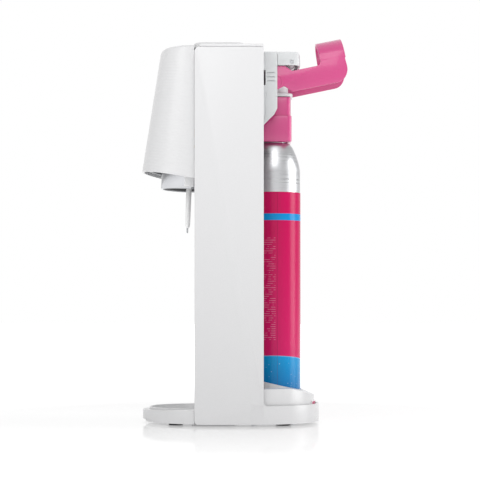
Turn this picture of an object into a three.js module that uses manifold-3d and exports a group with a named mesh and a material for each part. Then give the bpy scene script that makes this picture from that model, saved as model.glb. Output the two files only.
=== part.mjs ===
// Hand-operated sparkling-water maker with its rear cover taken off and its gas cylinder in place.
// Millimetres, +Z up, machine's front towards -Y. The model stands on z = 0.
import * as THREE from 'three';
import { mergeVertices } from 'three/addons/utils/BufferGeometryUtils.js';
import Module from 'manifold-3d';

const wasm = await Module();
wasm.setup();

// ---- Driving dimensions -------------------------------------------------------------------

const gap = 0.3; // air between pieces that rest on or sit in each other
const wall = 2.5; // casing thickness
const thinWall = 2.2; // covers, lever and button

const bodyWidth = 145; // across the two side panels
const baseDepth = 195; // front to rear of the oval base
const baseRoundness = 2.15; // exponent of the oval base outline
const panelFront = -40.5; // front edge of a side panel
const panelDepth = 75; // front edge to rear edge of a side panel
const skirtTop = 22.5; // top of the low rear rim
const skirtFillet = 5; // where the rim meets a side panel
const groundGap = 2.5; // casing's lower edge above the table

const footRadius = 8;
const footHeight = 1.9;
const basePlateThickness = 2.6;

const trayRadius = 44;
const trayDepth = 9;
const baseNose = 15.4; // top of the base at its front tip
const baseSlope = 2.4; // degrees, base top rises towards the panels

const bottleAxis = -49; // bottle's centre line, Y
const recessRadius = 52; // hollow that the bottle stands in
const nozzleOffset = 1.6; // nozzle's axis behind the bottle's centre line
const collarDrop = 103.9; // bottle collar's lower edge below the top of the valve guard
const collarRadius = 31.5;
const collarHeight = 24;
const holderTilt = 2.3; // degrees, collar leans forward at rest
const holderPivotOffset = 11.4; // pivot line behind the nozzle axis
const holderPivotRise = 35.4; // pivot line above the collar's lower edge
const nozzleRadius = 3;
const nozzleDrop = 42.2; // nozzle tube's end below the collar's lower edge
const nozzleTipLength = 5.6;

const cylinderAxis = 47; // gas cylinder's centre line, Y
const cylinderRadius = 30;
const cylinderFloor = 20.5; // cylinder's underside above the table
const cylinderLength = 295.5; // underside to the top of the neck
const cylinderWall = 3;
const labelThickness = 0.25;
const guardHeight = 50.1; // valve guard, lower block and upper block
const guardLowerHeight = 29.2;

const leverWidth = 57; // over the two arms
const leverAngle = 11.3; // degrees that the raised arms stand above level
const leverPivotRise = 15.4; // pivot above the top of the valve guard
const leverPivotOffset = 2.1; // pivot behind the cylinder's axis
const archStart = 52.5; // along the arms, from the pivot
const archEnd = 81;
const archSpring = 12; // height where the arch leaves its straight sides
const archCrown = 36.5;

const cheekGap = 1.7; // air between a lever arm and a frame cheek
const cheekThickness = 3;
const frameRear = 50.1; // rear edge of the frame's cheeks

const buttonLength = 58;
const buttonFront = -43;
const buttonCorner = 12;
const buttonRise = 8.8; // button's top above the roof
const stemPosition = -14; // button's stem, Y
const rockerPivotOffset = 19; // rocker's pivot behind the cylinder's axis

const screwRadius = 1.6;
const screwHole = 1.9;
const headInset = 9; // head's side behind a side panel's face

// Sides of round pieces, by how large they are.
const fine = 32;
const plain = 20;
const small = 12;
const tiny = 8;

// Cutting tools reach past the machine on every side.
const across = [-99, 99];
const beyond = 60;

// ---- Heights and places that follow -------------------------------------------------------

const halfWidth = bodyWidth / 2;
const panelRear = panelFront + panelDepth;
const cylinderTop = cylinderFloor + cylinderLength;
const guardBottom = cylinderTop - 1.6;
const guardTop = guardBottom + guardHeight;
const pivotY = cylinderAxis + leverPivotOffset;
const pivotZ = guardTop + leverPivotRise;
const panelTop = guardTop + 47.5;
const roofTop = panelTop + 3.5;
const basePlateBottom = footHeight + gap;
const basePlateTop = basePlateBottom + basePlateThickness;
const floorTop = basePlateTop + gap;
const collarBottom = guardTop - collarDrop;
const recessTop = collarBottom + 14.4;
const cheekInner = leverWidth / 2 + cheekGap;
const buttonWidth = 2 * (cheekInner - 0.2);
const cheekOuter = cheekInner + cheekThickness;
const deckTop = guardTop + 23.5; // frame's deck under the button
const deckBottom = deckTop - 3;
const capBottom = guardTop + 33.7;
const capTop = guardTop + 48.5;
const rockerTop = guardTop + 39;
const rockerBottom = rockerTop - 5;
const rockerPivotY = cylinderAxis + rockerPivotOffset;
const rockerPivotZ = rockerTop - 1.4;
const nozzleY = bottleAxis + nozzleOffset;
const holderPivotY = nozzleY + holderPivotOffset;
const holderPivotZ = collarBottom + holderPivotRise;

// ---- Solids -------------------------------------------------------------------------------

function toSolid(geometry) {
  const bare = geometry.clone();
  bare.deleteAttribute('normal');
  bare.deleteAttribute('uv');
  const merged = mergeVertices(bare, 1e-4);
  const index = merged.index.array;
  const corners = [];
  for (let i = 0; i < index.length; i += 3) {
    const face = [index[i], index[i + 1], index[i + 2]];
    if (new Set(face).size === 3) corners.push(...face);
  }
  const vertProperties = new Float32Array(merged.attributes.position.array);
  const triVerts = new Uint32Array(corners);
  return new wasm.Manifold(new wasm.Mesh({ numProp: 3, vertProperties, triVerts }));
}

function toGeometry(solid) {
  const mesh = solid.getMesh();
  const geometry = new THREE.BufferGeometry();
  geometry.setAttribute('position', new THREE.BufferAttribute(mesh.vertProperties, 3));
  geometry.setIndex(new THREE.BufferAttribute(mesh.triVerts, 1));
  geometry.computeVertexNormals();
  return geometry;
}

function join(first, ...others) {
  return others.reduce((sum, other) => sum.add(other), first);
}

function cut(first, ...tools) {
  return tools.reduce((rest, tool) => rest.subtract(tool), first);
}

function box(xRange, yRange, zRange) {
  const size = [xRange, yRange, zRange].map(([low, high]) => high - low);
  const middle = [xRange, yRange, zRange].map(([low, high]) => (low + high) / 2);
  return toSolid(new THREE.BoxGeometry(...size).translate(...middle));
}

// Two boxes, one on each side of the middle plane.
function mirroredBoxes([near, far], yRange, zRange) {
  return join(box([near, far], yRange, zRange), box([-far, -near], yRange, zRange));
}

function outline(points) {
  return new THREE.Shape(points.map(([x, y]) => new THREE.Vector2(x, y)));
}

// Closed outline whose corners are [x, y] or, with an arc, [x, y, radius].
function roundedOutline(corners) {
  const shape = new THREE.Shape();
  const place = ([x, y]) => new THREE.Vector2(x, y);
  corners.forEach((corner, i) => {
    const point = place(corner);
    const before = place(corners.at(i - 1)).sub(point).normalize();
    const after = place(corners[(i + 1) % corners.length]).sub(point).normalize();
    const radius = corner[2] ?? 0;
    if (radius === 0) {
      if (i === 0) shape.moveTo(point.x, point.y);
      else shape.lineTo(point.x, point.y);
      return;
    }
    const half = Math.acos(before.dot(after)) / 2;
    const reach = radius / Math.tan(half);
    const start = point.clone().addScaledVector(before, reach);
    const end = point.clone().addScaledVector(after, reach);
    const middle = before.clone().add(after).normalize();
    const centre = point.clone().addScaledVector(middle, radius / Math.sin(half));
    if (i === 0) shape.moveTo(start.x, start.y);
    else shape.lineTo(start.x, start.y);
    const from = start.sub(centre).angle();
    const to = end.sub(centre).angle();
    shape.absarc(centre.x, centre.y, radius, from, to, before.cross(after) > 0);
  });
  return shape;
}

// Outline given in X and Y, extruded up.
function prismZ(shape, [low, high], curveSegments = 2) {
  const settings = { depth: high - low, bevelEnabled: false, curveSegments };
  return toSolid(new THREE.ExtrudeGeometry(shape, settings).translate(0, 0, low));
}

// Outline given in Y and Z, extruded along X.
function prismX(shape, [low, high], curveSegments = 2) {
  const settings = { depth: high - low, bevelEnabled: false, curveSegments };
  const turn = new THREE.Matrix4().makeBasis(
    new THREE.Vector3(0, 1, 0),
    new THREE.Vector3(0, 0, 1),
    new THREE.Vector3(1, 0, 0),
  );
  return toSolid(new THREE.ExtrudeGeometry(shape, settings).translate(0, 0, low).applyMatrix4(turn));
}

// Outline given in X and Z, extruded along Y.
function prismY(shape, [low, high], curveSegments = 2) {
  const settings = { depth: high - low, bevelEnabled: false, curveSegments };
  const turn = new THREE.Matrix4().makeRotationX(Math.PI / 2);
  return toSolid(new THREE.ExtrudeGeometry(shape, settings).translate(0, 0, -high).applyMatrix4(turn));
}

function rodZ(x, y, radius, [low, high], sides = 14) {
  const rod = new THREE.CylinderGeometry(radius, radius, high - low, sides);
  return toSolid(rod.rotateX(Math.PI / 2).translate(x, y, (low + high) / 2));
}

function rodX(y, z, radius, [low, high], sides = 14) {
  const rod = new THREE.CylinderGeometry(radius, radius, high - low, sides);
  return toSolid(rod.rotateZ(Math.PI / 2).translate((low + high) / 2, y, z));
}

function rodY(x, z, radius, [low, high], sides = small) {
  const rod = new THREE.CylinderGeometry(radius, radius, high - low, sides);
  return toSolid(rod.translate(x, (low + high) / 2, z));
}

function tubeZ(x, y, outer, inner, [low, high], sides = fine) {
  return cut(rodZ(x, y, outer, [low, high], sides), rodZ(x, y, inner, [low - 1, high + 1], sides));
}

// Body of revolution about the vertical line through (0, y), from a profile of [radius, height].
function turned(y, profile, sides = fine) {
  const points = profile.map(([radius, height]) => new THREE.Vector2(radius, height));
  return toSolid(new THREE.LatheGeometry(points, sides).rotateX(Math.PI / 2).translate(0, y, 0));
}

// Round wire or hose along a path.
function swept(path, radius, sides, steps) {
  const section = new THREE.Shape();
  section.absarc(0, 0, radius, 0, 2 * Math.PI, false);
  const settings = { steps, extrudePath: path, curveSegments: sides / 2 };
  return toSolid(new THREE.ExtrudeGeometry(section, settings));
}

// Pan-head screw with its head's seat at the origin and its shank along -Z.
function screwSolid(shankRadius, shankLength) {
  const head = rodZ(0, 0, shankRadius * 2, [0, shankRadius * 1.2], 10);
  const shank = rodZ(0, 0, shankRadius, [-shankLength, 0.2], 8);
  const slot = box([-shankRadius * 1.5, shankRadius * 1.5], [-0.4, 0.4], [shankRadius * 0.7, 9]);
  return cut(join(head, shank), slot);
}

// ---- Plan outlines ------------------------------------------------------------------------

// Oval of half width a and half depth b round (0, centre), between two angles in degrees.
function ovalPoints(a, b, centre, exponent, from, to, steps) {
  const points = [];
  for (let i = 0; i <= steps; i += 1) {
    const angle = ((from + ((to - from) * i) / steps) * Math.PI) / 180;
    const c = Math.cos(angle);
    const s = Math.sin(angle);
    const x = a * Math.sign(c) * Math.abs(c) ** (2 / exponent);
    const y = b * Math.sign(s) * Math.abs(s) ** (2 / exponent);
    points.push([x, centre + y]);
  }
  return points;
}

// Front half of the base, inset all round.
function nosePlan(inset) {
  const a = halfWidth - 0.5 - inset;
  const b = baseDepth / 2 - inset;
  return outline(ovalPoints(a, b, 0, baseRoundness, 180, 360, plain));
}

// Side panels' lower ends and the rear half of the base, inset all round.
const skirtCentre = 20;
function skirtPlan(inset) {
  const a = halfWidth - inset;
  const b = baseDepth / 2 - skirtCentre - inset;
  const rear = ovalPoints(a, b, skirtCentre, 2.1, 0, 180, plain);
  return outline([[-a, panelFront + inset], [a, panelFront + inset], ...rear]);
}

// ---- Casing and base ----------------------------------------------------------------------

const postHeights = [guardTop - 14, guardTop + 36];
const postSide = halfWidth - wall - 7;
const wingFront = 26;

// Side profile of a panel: the rear rim, its fillet and the round front corners.
function panelProfile() {
  const rear = baseDepth;
  return roundedOutline([
    [panelFront, groundGap, 4],
    [rear, groundGap],
    [rear, skirtTop],
    [panelRear, skirtTop, skirtFillet],
    [panelRear, panelTop],
    [panelFront, panelTop, 5],
  ]);
}

function mainHousing() {
  const tall = [groundGap, panelTop];
  const inner = halfWidth - wall;
  const shell = cut(
    join(
      prismZ(skirtPlan(0), [groundGap, skirtTop + skirtFillet + 1]),
      box([-halfWidth, halfWidth], [panelFront, panelRear], [skirtTop, panelTop]),
    ),
    prismZ(skirtPlan(wall), [0, skirtTop + skirtFillet + 2]),
    box([-inner, inner], [panelFront + wall, baseDepth], [skirtTop, panelTop + 1]),
  );
  const column = rodZ(0, bottleAxis, recessRadius + wall, [floorTop, recessTop], fine);
  const behindFront = box([-inner, inner], [panelFront, panelRear], tall);
  const walls = join(shell, column.intersect(behindFront));
  const posts = postHeights.flatMap((z) => [-1, 1].map((side) => {
    const post = box([postSide - 5, inner + 1], [wingFront - 7, wingFront - gap], [z - 5, z + 5]);
    return side > 0 ? post : post.mirror([1, 0, 0]);
  }));
  const postHoles = postHeights.flatMap((z) => [-1, 1].map(
    (side) => rodY(side * postSide, z, screwHole, [wingFront - 7, wingFront + 1], tiny),
  ));
  const windowHalf = halfWidth - 12.5;
  const window = box([-windowHalf, windowHalf], [-beyond, panelFront + 3], [recessTop, panelTop + 1]);
  const bottleBay = rodZ(0, bottleAxis, recessRadius, [-1, recessTop - wall], fine);
  const collarHole = rodZ(0, bottleAxis, collarRadius + 10, [recessTop - 9, recessTop + 9], fine);
  const underFront = box([-inner, inner], [panelFront - 1, panelFront + wall + 2], [0, floorTop]);
  const solid = cut(join(walls, ...posts), bottleBay, collarHole, window, underFront, ...postHoles);
  return solid.intersect(prismX(panelProfile(), [-halfWidth - 1, halfWidth + 1]));
}

const baseScrewPlaces = [[-50, 24], [50, 24], [-38, 66], [38, 66]];
const footPlaces = [[-38, -62], [38, -62], [-44, 56], [44, 56]];
const footStem = 2.2;

function basePlate() {
  const inset = wall + 0.5;
  const zRange = [basePlateBottom, basePlateTop];
  const whole = join(prismZ(nosePlan(inset), zRange), prismZ(skirtPlan(inset), zRange));
  const stemHoles = footPlaces.map(([x, y]) => rodZ(x, y, footStem + gap, [0, 9], small));
  const screwHoles = baseScrewPlaces.map(([x, y]) => rodZ(x, y, 1.8, [0, 9], tiny));
  return cut(whole, ...stemHoles, ...screwHoles);
}

function foot() {
  const stemTop = basePlateTop - gap;
  return turned(0, [
    [0, 0],
    [footRadius - 0.6, 0],
    [footRadius, 0.6],
    [footRadius, footHeight],
    [footStem, footHeight],
    [footStem, stemTop],
    [0, stemTop],
  ], small);
}

// Height of the base's sloping top at a place along Y.
function baseTopAt(y) {
  return baseNose + (y + baseDepth / 2) * Math.tan((baseSlope * Math.PI) / 180);
}

function frontBase() {
  const bay = recessRadius - gap - 0.2;
  const noseRear = panelFront - gap;
  const behind = bottleAxis + bay;
  const profile = (drop) => outline([
    [-baseDepth, groundGap],
    [behind, groundGap],
    [behind, baseTopAt(behind) - drop],
    [-baseDepth, baseTopAt(-baseDepth) - drop],
  ]);
  const plan = (inset) => join(
    prismZ(nosePlan(inset), [groundGap, 60]).intersect(box(across, [-baseDepth, noseRear], [0, 60])),
    rodZ(0, bottleAxis, bay - inset, [floorTop, 60], fine),
  );
  const outer = plan(0).intersect(prismX(profile(0), across));
  const inner = plan(wall).intersect(prismX(profile(wall), across));
  const underside = prismZ(nosePlan(wall), [0, floorTop + 2]);
  const openRear = box([-recessRadius, recessRadius], [noseRear - wall - 1, behind + 1], [0, floorTop]);
  const dishTop = trayFloor() - gap;
  const dish = rodZ(0, bottleAxis, trayRadius + gap + wall, [floorTop, 60], fine);
  const dishHollow = rodZ(0, bottleAxis, trayRadius + gap, [dishTop, 60], fine);
  return cut(join(cut(outer, inner, underside, openRear), dish.intersect(outer)), dishHollow);
}

function trayFloor() {
  return baseTopAt(bottleAxis) - trayDepth + 1;
}

function dripTray() {
  const low = trayFloor();
  const top = low + trayDepth;
  const dish = turned(bottleAxis, [
    [0, low],
    [trayRadius - 1.5, low],
    [trayRadius, low + 1.5],
    [trayRadius, top],
    [trayRadius - 2, top],
    [trayRadius - 3.5, low + 2],
    [0, low + 2],
  ], fine);
  const ribCircle = 32;
  const ribs = [-24, -12, 0, 12, 24].map((x) => {
    const reach = Math.sqrt(ribCircle ** 2 - x ** 2);
    return box([x - 1, x + 1], [bottleAxis - reach, bottleAxis + reach], [low + 1, low + 3.6]);
  });
  return join(dish, ...ribs);
}

// ---- Head ---------------------------------------------------------------------------------

const headRear = panelFront - 0.5;
const headHalfWidth = halfWidth - headInset;
const headRoofFront = 38.9; // roof's reach in front of headRear
const headSlope = 0.1596; // the front leans out this much for each millimetre down
const headBottomFront = collarBottom + 20.9;
const headBottomRear = collarBottom + 10;

// Leaning oval body of the head cover, inset all round, reaching down past its slanted lower edge.
function headForm(inset, top) {
  const low = collarBottom - 20;
  const plan = ovalPoints(headHalfWidth - inset, 1, 0, 2.3, 180, 360, plain);
  const form = new THREE.ExtrudeGeometry(outline(plan), { depth: top - low, bevelEnabled: false });
  const place = form.attributes.position;
  for (let i = 0; i < place.count; i += 1) {
    const z = low + place.getZ(i);
    const reach = headRoofFront + (roofTop - z) * headSlope - inset;
    place.setXYZ(i, place.getX(i), headRear + place.getY(i) * reach, z);
  }
  return toSolid(form);
}

// Everything above the head's slanted lower edge, raised by lift.
function aboveHeadEdge(lift) {
  const reach = headRoofFront + (roofTop - headBottomFront) * headSlope;
  const slope = (headBottomFront - headBottomRear) / reach;
  const front = headBottomFront + lift + 30 * slope;
  return prismX(outline([
    [headRear + 20, headBottomRear - 20 * slope + lift],
    [headRear + 20, roofTop + 50],
    [headRear - reach - 30, roofTop + 50],
    [headRear - reach - 30, front],
  ]), across);
}

function buttonPlan(grow) {
  const halfX = buttonWidth / 2 + grow;
  const low = buttonFront - grow;
  const high = buttonFront + buttonLength + grow;
  return roundedOutline([
    [-halfX, low, buttonCorner],
    [halfX, low, buttonCorner],
    [halfX, high, buttonCorner],
    [-halfX, high, buttonCorner],
  ]);
}

const roofSplit = -34.5;

function headCover() {
  const outer = headForm(0, roofTop).intersect(aboveHeadEdge(0));
  const shell = cut(outer, headForm(wall, roofTop - wall));
  const rim = halfWidth - 13;
  const tongue = box([-rim, rim], [headRear - 1, roofSplit], [roofTop - wall, roofTop]);
  return cut(join(shell, tongue), prismZ(buttonPlan(gap + 0.1), [panelTop - 9, roofTop + 9]));
}

function headBottomPlate() {
  const plate = headForm(wall + 2 * gap, headBottomFront + 20);
  const layer = cut(plate.intersect(aboveHeadEdge(3)), aboveHeadEdge(5.5));
  return cut(layer, rodZ(0, bottleAxis, collarRadius + 9.5, [collarBottom - 30, roofTop], fine));
}

function topCover() {
  const zRange = [panelTop + gap, roofTop];
  const front = roofSplit + gap;
  const side = halfWidth - 0.4;
  const plan = [[-side, front, 1], [side, front, 1], [side, panelRear], [-side, panelRear]];
  const plate = prismZ(roundedOutline(plan), zRange);
  const inside = halfWidth - wall - gap;
  const lip = cut(
    box([-inside, inside], [panelRear - 12, panelRear - 1], [panelTop - 3, panelTop + 1]),
    box([-inside + 2, inside - 2], [panelRear - 20, panelRear], [panelTop - 4, panelTop + gap]),
  );
  return cut(join(plate, lip), prismZ(buttonPlan(gap + 0.1), [panelTop - 9, roofTop + 9]));
}

function carbonationButton() {
  const low = panelTop - 3;
  const high = roofTop + buttonRise;
  const shoulder = 1.2;
  const middleY = buttonFront + buttonLength / 2;
  const cap = prismZ(buttonPlan(0), [low, high - shoulder]);
  const crown = prismZ(buttonPlan(-shoulder), [high - shoulder - 0.5, high]);
  const hollow = prismZ(buttonPlan(-thinWall - shoulder), [low - 1, high - thinWall]);
  const stem = box([-5, 5], [stemPosition - 2, stemPosition + 2], [rockerTop + gap, high - 1]);
  const keeper = tubeZ(0, springPlace, 6.6, 5.6, [high - 7, high - 1], plain);
  const guide = box([-12, 12], [middleY + 8, middleY + 10], [low + 3, high - 1]);
  return join(cut(join(cap, crown), hollow), stem, keeper, guide);
}

const springPlace = -31;
const springRadius = 4.4;
const springWire = 0.5;
const springFloor = deckTop + 0.2;

class SpringCurve extends THREE.Curve {
  constructor(y, low, high, turns) {
    super();
    this.place = [y, low, high];
    this.turns = turns;
  }

  getPoint(t) {
    const [y, low, high] = this.place;
    const angle = 2 * Math.PI * this.turns * t;
    const x = springRadius * Math.cos(angle);
    return new THREE.Vector3(x, y + springRadius * Math.sin(angle), low + (high - low) * t);
  }
}

function buttonSpring() {
  const high = roofTop + buttonRise - thinWall - springWire - 0.2;
  const path = new SpringCurve(springPlace, springFloor + springWire, high, 7);
  return swept(path, springWire, 4, 63);
}

// ---- Inner frame and what it carries ------------------------------------------------------

const axleRadius = 4.2;
const frameFront = -36;

function cheekProfile() {
  return roundedOutline([
    [frameFront, deckBottom],
    [-8, deckBottom],
    [-8, guardTop - 33],
    [panelRear + 0.2, guardTop - 33],
    [46.5, guardTop - 21.2, 4],
    [frameRear, guardTop - 14.5, 6],
    [frameRear, capTop],
    [panelRear + 1, capTop],
    [panelRear + 1, panelTop - 0.5],
    [frameFront, panelTop - 0.5],
  ]);
}

function innerFrame() {
  const cheeks = join(
    prismX(cheekProfile(), [cheekInner, cheekOuter]),
    prismX(cheekProfile(), [-cheekOuter, -cheekInner]),
  );
  const deck = box([-cheekOuter, cheekOuter], [frameFront, 26], [deckBottom, deckTop]);
  const bridgeFront = buttonFront + buttonLength + 3;
  const bridge = box([-cheekOuter, cheekOuter], [bridgeFront, frameRear], [panelTop - 3, panelTop - 0.5]);
  const wings = mirroredBoxes([cheekOuter - 1, halfWidth - wall - gap], [wingFront, wingFront + 2.5],
    [guardTop - 24, panelTop - 4]);
  const pegRadius = springRadius - springWire - 0.4;
  const springPeg = rodZ(0, springPlace, pegRadius, [deckTop - 1, deckTop + 6], small);
  const ventHeights = [16, 20.5, 25].map((rise) => guardTop + rise);
  const vents = ventHeights.map((z) => box(across, [38.9, 47.3], [z - 0.7, z + 0.7]));
  const sideSlot = box(across, [panelRear + 0.2, 37.1], [guardTop + 11.3, guardTop + 28.1]);
  const within = (half) => box([-half, half], [0, beyond], [0, roofTop]);
  const ventDepth = 1.2;
  const sideCuts = join(
    cut(join(...vents), within(cheekOuter - ventDepth)),
    cut(sideSlot, within(cheekInner)),
  );
  const screwHoles = postHeights.flatMap((z) => [-1, 1].map(
    (side) => rodY(side * postSide, z, screwHole, [wingFront - 1, wingFront + 5], tiny),
  ));
  const tongueHoles = receiverScrewPlaces.map(
    ([x, y]) => rodZ(x, y, screwHole, [deckBottom - 1, deckTop + 1], tiny),
  );
  return cut(join(cheeks, deck, bridge, wings, springPeg), sideCuts, ...screwHoles, ...tongueHoles);
}

function rearCap() {
  const front = frameRear + 0.4;
  const rear = front + 25.2;
  const side = cheekInner + 0.8;
  const plan = (inset) => roundedOutline([
    [-side + inset, front],
    [side - inset, front],
    [side - inset, rear - inset, 8 - inset],
    [-side + inset, rear - inset, 8 - inset],
  ]);
  const profile = (inset) => roundedOutline([
    [front - 5, capBottom - 5],
    [rear - inset, capBottom - 5],
    [rear - inset, capTop - inset, 5.5 - inset],
    [front - 5, capTop - inset],
  ]);
  const form = (inset, low) => prismZ(plan(inset), [low, capTop])
    .intersect(prismX(profile(inset), across));
  const outer = form(0, capBottom);
  const inner = form(thinWall, capBottom - 1);
  const pinHole = rodX(rockerPivotY, rockerPivotZ, pinRadius + gap, across, small);
  return cut(outer, inner, pinHole);
}

const pinRadius = 1.8;
const pushPinRadius = 1.6;
const rockerHalfWidth = 6;

function actuatorRocker() {
  const front = stemPosition - 8;
  const bar = box([-rockerHalfWidth, rockerHalfWidth], [front, rockerPivotY], [rockerBottom, rockerTop]);
  const hub = rodX(rockerPivotY, rockerPivotZ, 5, [-rockerHalfWidth, rockerHalfWidth], plain);
  const wideHub = rodX(rockerPivotY, rockerPivotZ, 3.6, [-18, 18], plain);
  return cut(join(bar, hub, wideHub), rodX(rockerPivotY, rockerPivotZ, pinRadius + gap, across, small));
}

const hubEnd = leverWidth / 2 + cheekGap - 0.4; // outer face of the lever's hubs
const hubSkin = 0.9;
const axleStart = 14.6;
const trunnionEnd = leverWidth / 2 - thinWall - 0.5;
const trunnionRadius = 7;
const receiverScrewPlaces = [[-9, 18], [9, 18]];
const plungerRadius = 11;
const receiverTop = guardTop + 28;
const hoseOuter = 3;
const hoseInner = 1.4;
const hoseHeight = guardTop + 9.5;
const hoseOffset = 2; // hose's lower end behind the nozzle's axis

function receiver() {
  const bottom = guardTop + 0.5;
  const flangeTop = bottom + 3.6;
  const halfDepth = 20.6;
  const flange = prismZ(roundedOutline([
    [-21, cylinderAxis - halfDepth, 5],
    [21, cylinderAxis - halfDepth, 5],
    [21, cylinderAxis + halfDepth, 9],
    [-21, cylinderAxis + halfDepth, 9],
  ]), [bottom, flangeTop]);
  const body = rodZ(0, cylinderAxis, 16, [flangeTop - 1, receiverTop], fine);
  const tongue = box([-13, 13], [12, 34], [deckBottom - gap - 6, deckBottom - gap]);
  const barb = rodY(0, hoseHeight, hoseInner - gap, [18, 34], tiny);
  const bore = rodZ(0, cylinderAxis, plungerRadius + gap, [bottom - 1, receiverTop - 6], plain);
  const pinHole = rodZ(0, cylinderAxis, pushPinRadius + gap, [bottom, receiverTop + 1], small);
  const trunnion = rodX(pivotY, pivotZ, trunnionRadius, [axleStart - 1, trunnionEnd], plain);
  const axleHole = rodX(pivotY, pivotZ, axleRadius + gap, [axleStart - gap, trunnionEnd + 1], plain);
  const mirrored = (solid) => join(solid, solid.mirror([1, 0, 0]));
  const threads = receiverScrewPlaces.map(
    ([x, y]) => rodZ(x, y, screwHole, [deckBottom - 9, deckTop], tiny),
  );
  return cut(
    join(flange, body, tongue, barb, mirrored(trunnion)),
    bore,
    pinHole,
    mirrored(axleHole),
    ...threads,
  );
}

const plungerBottom = guardTop + 1.6;
const plungerTop = receiverTop - 6 - 1;

function sealPlunger() {
  const body = rodZ(0, cylinderAxis, plungerRadius, [plungerBottom, plungerTop], plain);
  const bore = rodZ(0, cylinderAxis, pushPinRadius + 0.6, [plungerBottom - 1, plungerTop + 1], small);
  const seat = rodZ(0, cylinderAxis, 7.4, [plungerBottom - 1, plungerBottom + 1.8], plain);
  return cut(body, bore, seat);
}

function plungerGasket() {
  return tubeZ(0, cylinderAxis, 7.1, 3.4, [plungerBottom - 0.9, plungerBottom + 1.5], plain);
}

function pushPin() {
  const high = rockerBottom - gap;
  const low = guardTop - 1.6;
  const headRadius = 2 * pushPinRadius;
  return turned(cylinderAxis, [
    [0, low],
    [pushPinRadius, low],
    [pushPinRadius, high - 2],
    [headRadius, high - 2],
    [headRadius, high],
    [0, high],
  ], small);
}

// ---- Quick-connect lever ------------------------------------------------------------------

// Drawn with its pivot at the origin and its arms along +Y.
function quickConnectLever() {
  const outer = leverWidth / 2;
  const inner = outer - thinWall;
  const arm = roundedOutline([
    [-6.6, 5],
    [-2, 14.5, 5],
    [4.6, 17.3],
    [13, 15.6, 2],
    [19.6, 8.6, 3],
    [49.5, 8.8, 3],
    [54, archSpring + 1.5],
    [archEnd - 1, archSpring + 1.5],
    [archEnd, -2.8, 6],
    [73.8, -13.6, 9],
    [15.3, -14, 3],
    [7.9, -6.1, 3],
    [-0.3, -8.5, 3],
    [-7.4, -5, 4],
  ]);
  const arms = join(prismX(arm, [inner, outer]), prismX(arm, [-outer, -inner]));
  const arch = (side, crown, yRange) => {
    const curve = ovalPoints(side, crown - archSpring, archSpring, 2, 0, 180, 18);
    return prismY(outline(curve), yRange);
  };
  const vault = cut(
    arch(outer, archCrown, [archStart, archEnd]),
    arch(inner, archCrown - thinWall, [archStart - 1, archEnd + 1]),
  );
  const bosses = join(
    rodX(0, 0, 7.6, [inner, hubEnd], plain),
    rodX(0, 0, 7.6, [-hubEnd, -inner], plain),
  );
  const boreEnd = hubEnd - hubSkin;
  return cut(join(arms, vault, bosses), rodX(0, 0, axleRadius + gap, [-boreEnd, boreEnd], plain));
}

// Dowel from a trunnion of the receiver into the lever's hub.
function leverAxle(side) {
  const axle = rodX(pivotY, pivotZ, axleRadius, [axleStart, hubEnd - hubSkin - gap], plain);
  return side > 0 ? axle : axle.mirror([1, 0, 0]);
}

// ---- Gas line in the head -----------------------------------------------------------------

const chassisBottom = holderPivotZ + 16;
const chassisTop = chassisBottom + 3;
const manifoldTop = chassisTop + 14;
const manifoldHalf = 9;
const reliefZ = chassisTop + 8;
const lugInner = collarRadius + 9.2;

function headChassis() {
  const reach = halfWidth - 14;
  const narrow = reach - 14;
  const plate = prismZ(outline([
    [-narrow, bottleAxis - 22],
    [narrow, bottleAxis - 22],
    [reach, panelFront - 4],
    [reach, panelFront + 12],
    [-reach, panelFront + 12],
    [-reach, panelFront - 4],
  ]), [chassisBottom, chassisTop]);
  const lugs = mirroredBoxes([lugInner, lugInner + 3], [holderPivotY - 5, holderPivotY + 5],
    [holderPivotZ - 5, chassisBottom + 1]);
  const braceFront = panelFront + 9.5;
  const brace = box([-reach, reach], [braceFront, braceFront + 2.5], [chassisTop - 1, chassisTop + 14]);
  const spigotHole = rodZ(0, nozzleY, 7.6, [chassisBottom - 1, chassisTop + 1], plain);
  const screwHoles = chassisScrewPlaces.map(
    ([x, y]) => rodZ(x, y, screwHole, [chassisBottom - 1, chassisTop + 1], tiny),
  );
  const pinHoles = rodX(holderPivotY, holderPivotZ, 2.3, across, small);
  const hoseNotch = box([-6, 6], [panelFront + 5, panelFront + 13], [chassisTop + 1, chassisTop + 15]);
  return cut(join(plate, lugs, brace), spigotHole, ...screwHoles, pinHoles, hoseNotch);
}

const chassisScrewPlaces = [[-12, nozzleY], [12, nozzleY]];

function gasManifold() {
  const y = nozzleY;
  const block = box([-17, 17], [y - manifoldHalf, y + manifoldHalf], [chassisTop + gap, manifoldTop]);
  const spigot = rodZ(0, y, 6, [chassisBottom - 3, chassisTop + 1], plain);
  const tip = rodZ(0, y, 2.2, [holderPivotZ + 3, chassisBottom - 2], small);
  const barb = rodZ(0, y + hoseOffset, hoseInner - gap, [manifoldTop - 1, manifoldTop + 9], tiny);
  const passage = rodZ(0, y, 1.1, [holderPivotZ, manifoldTop - 4], tiny);
  const relief = rodY(0, reliefZ, 3.3, [y - manifoldHalf - 1, y - 3], small);
  const threads = chassisScrewPlaces.map(
    ([screwX, screwY]) => rodZ(screwX, screwY, screwHole, [chassisTop - 1, chassisTop + 9], tiny),
  );
  return cut(join(block, spigot, tip, barb), passage, relief, ...threads);
}

function reliefValveBody() {
  const y = nozzleY - manifoldHalf;
  const z = reliefZ;
  const shank = rodY(0, z, 3, [y - 1, y + 5], small);
  const hexagon = rodY(0, z, 5.5, [y - 9, y - gap], 6);
  return cut(join(shank, hexagon), rodY(0, z, 1.6, [y - 10, y + 6], tiny));
}

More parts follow.
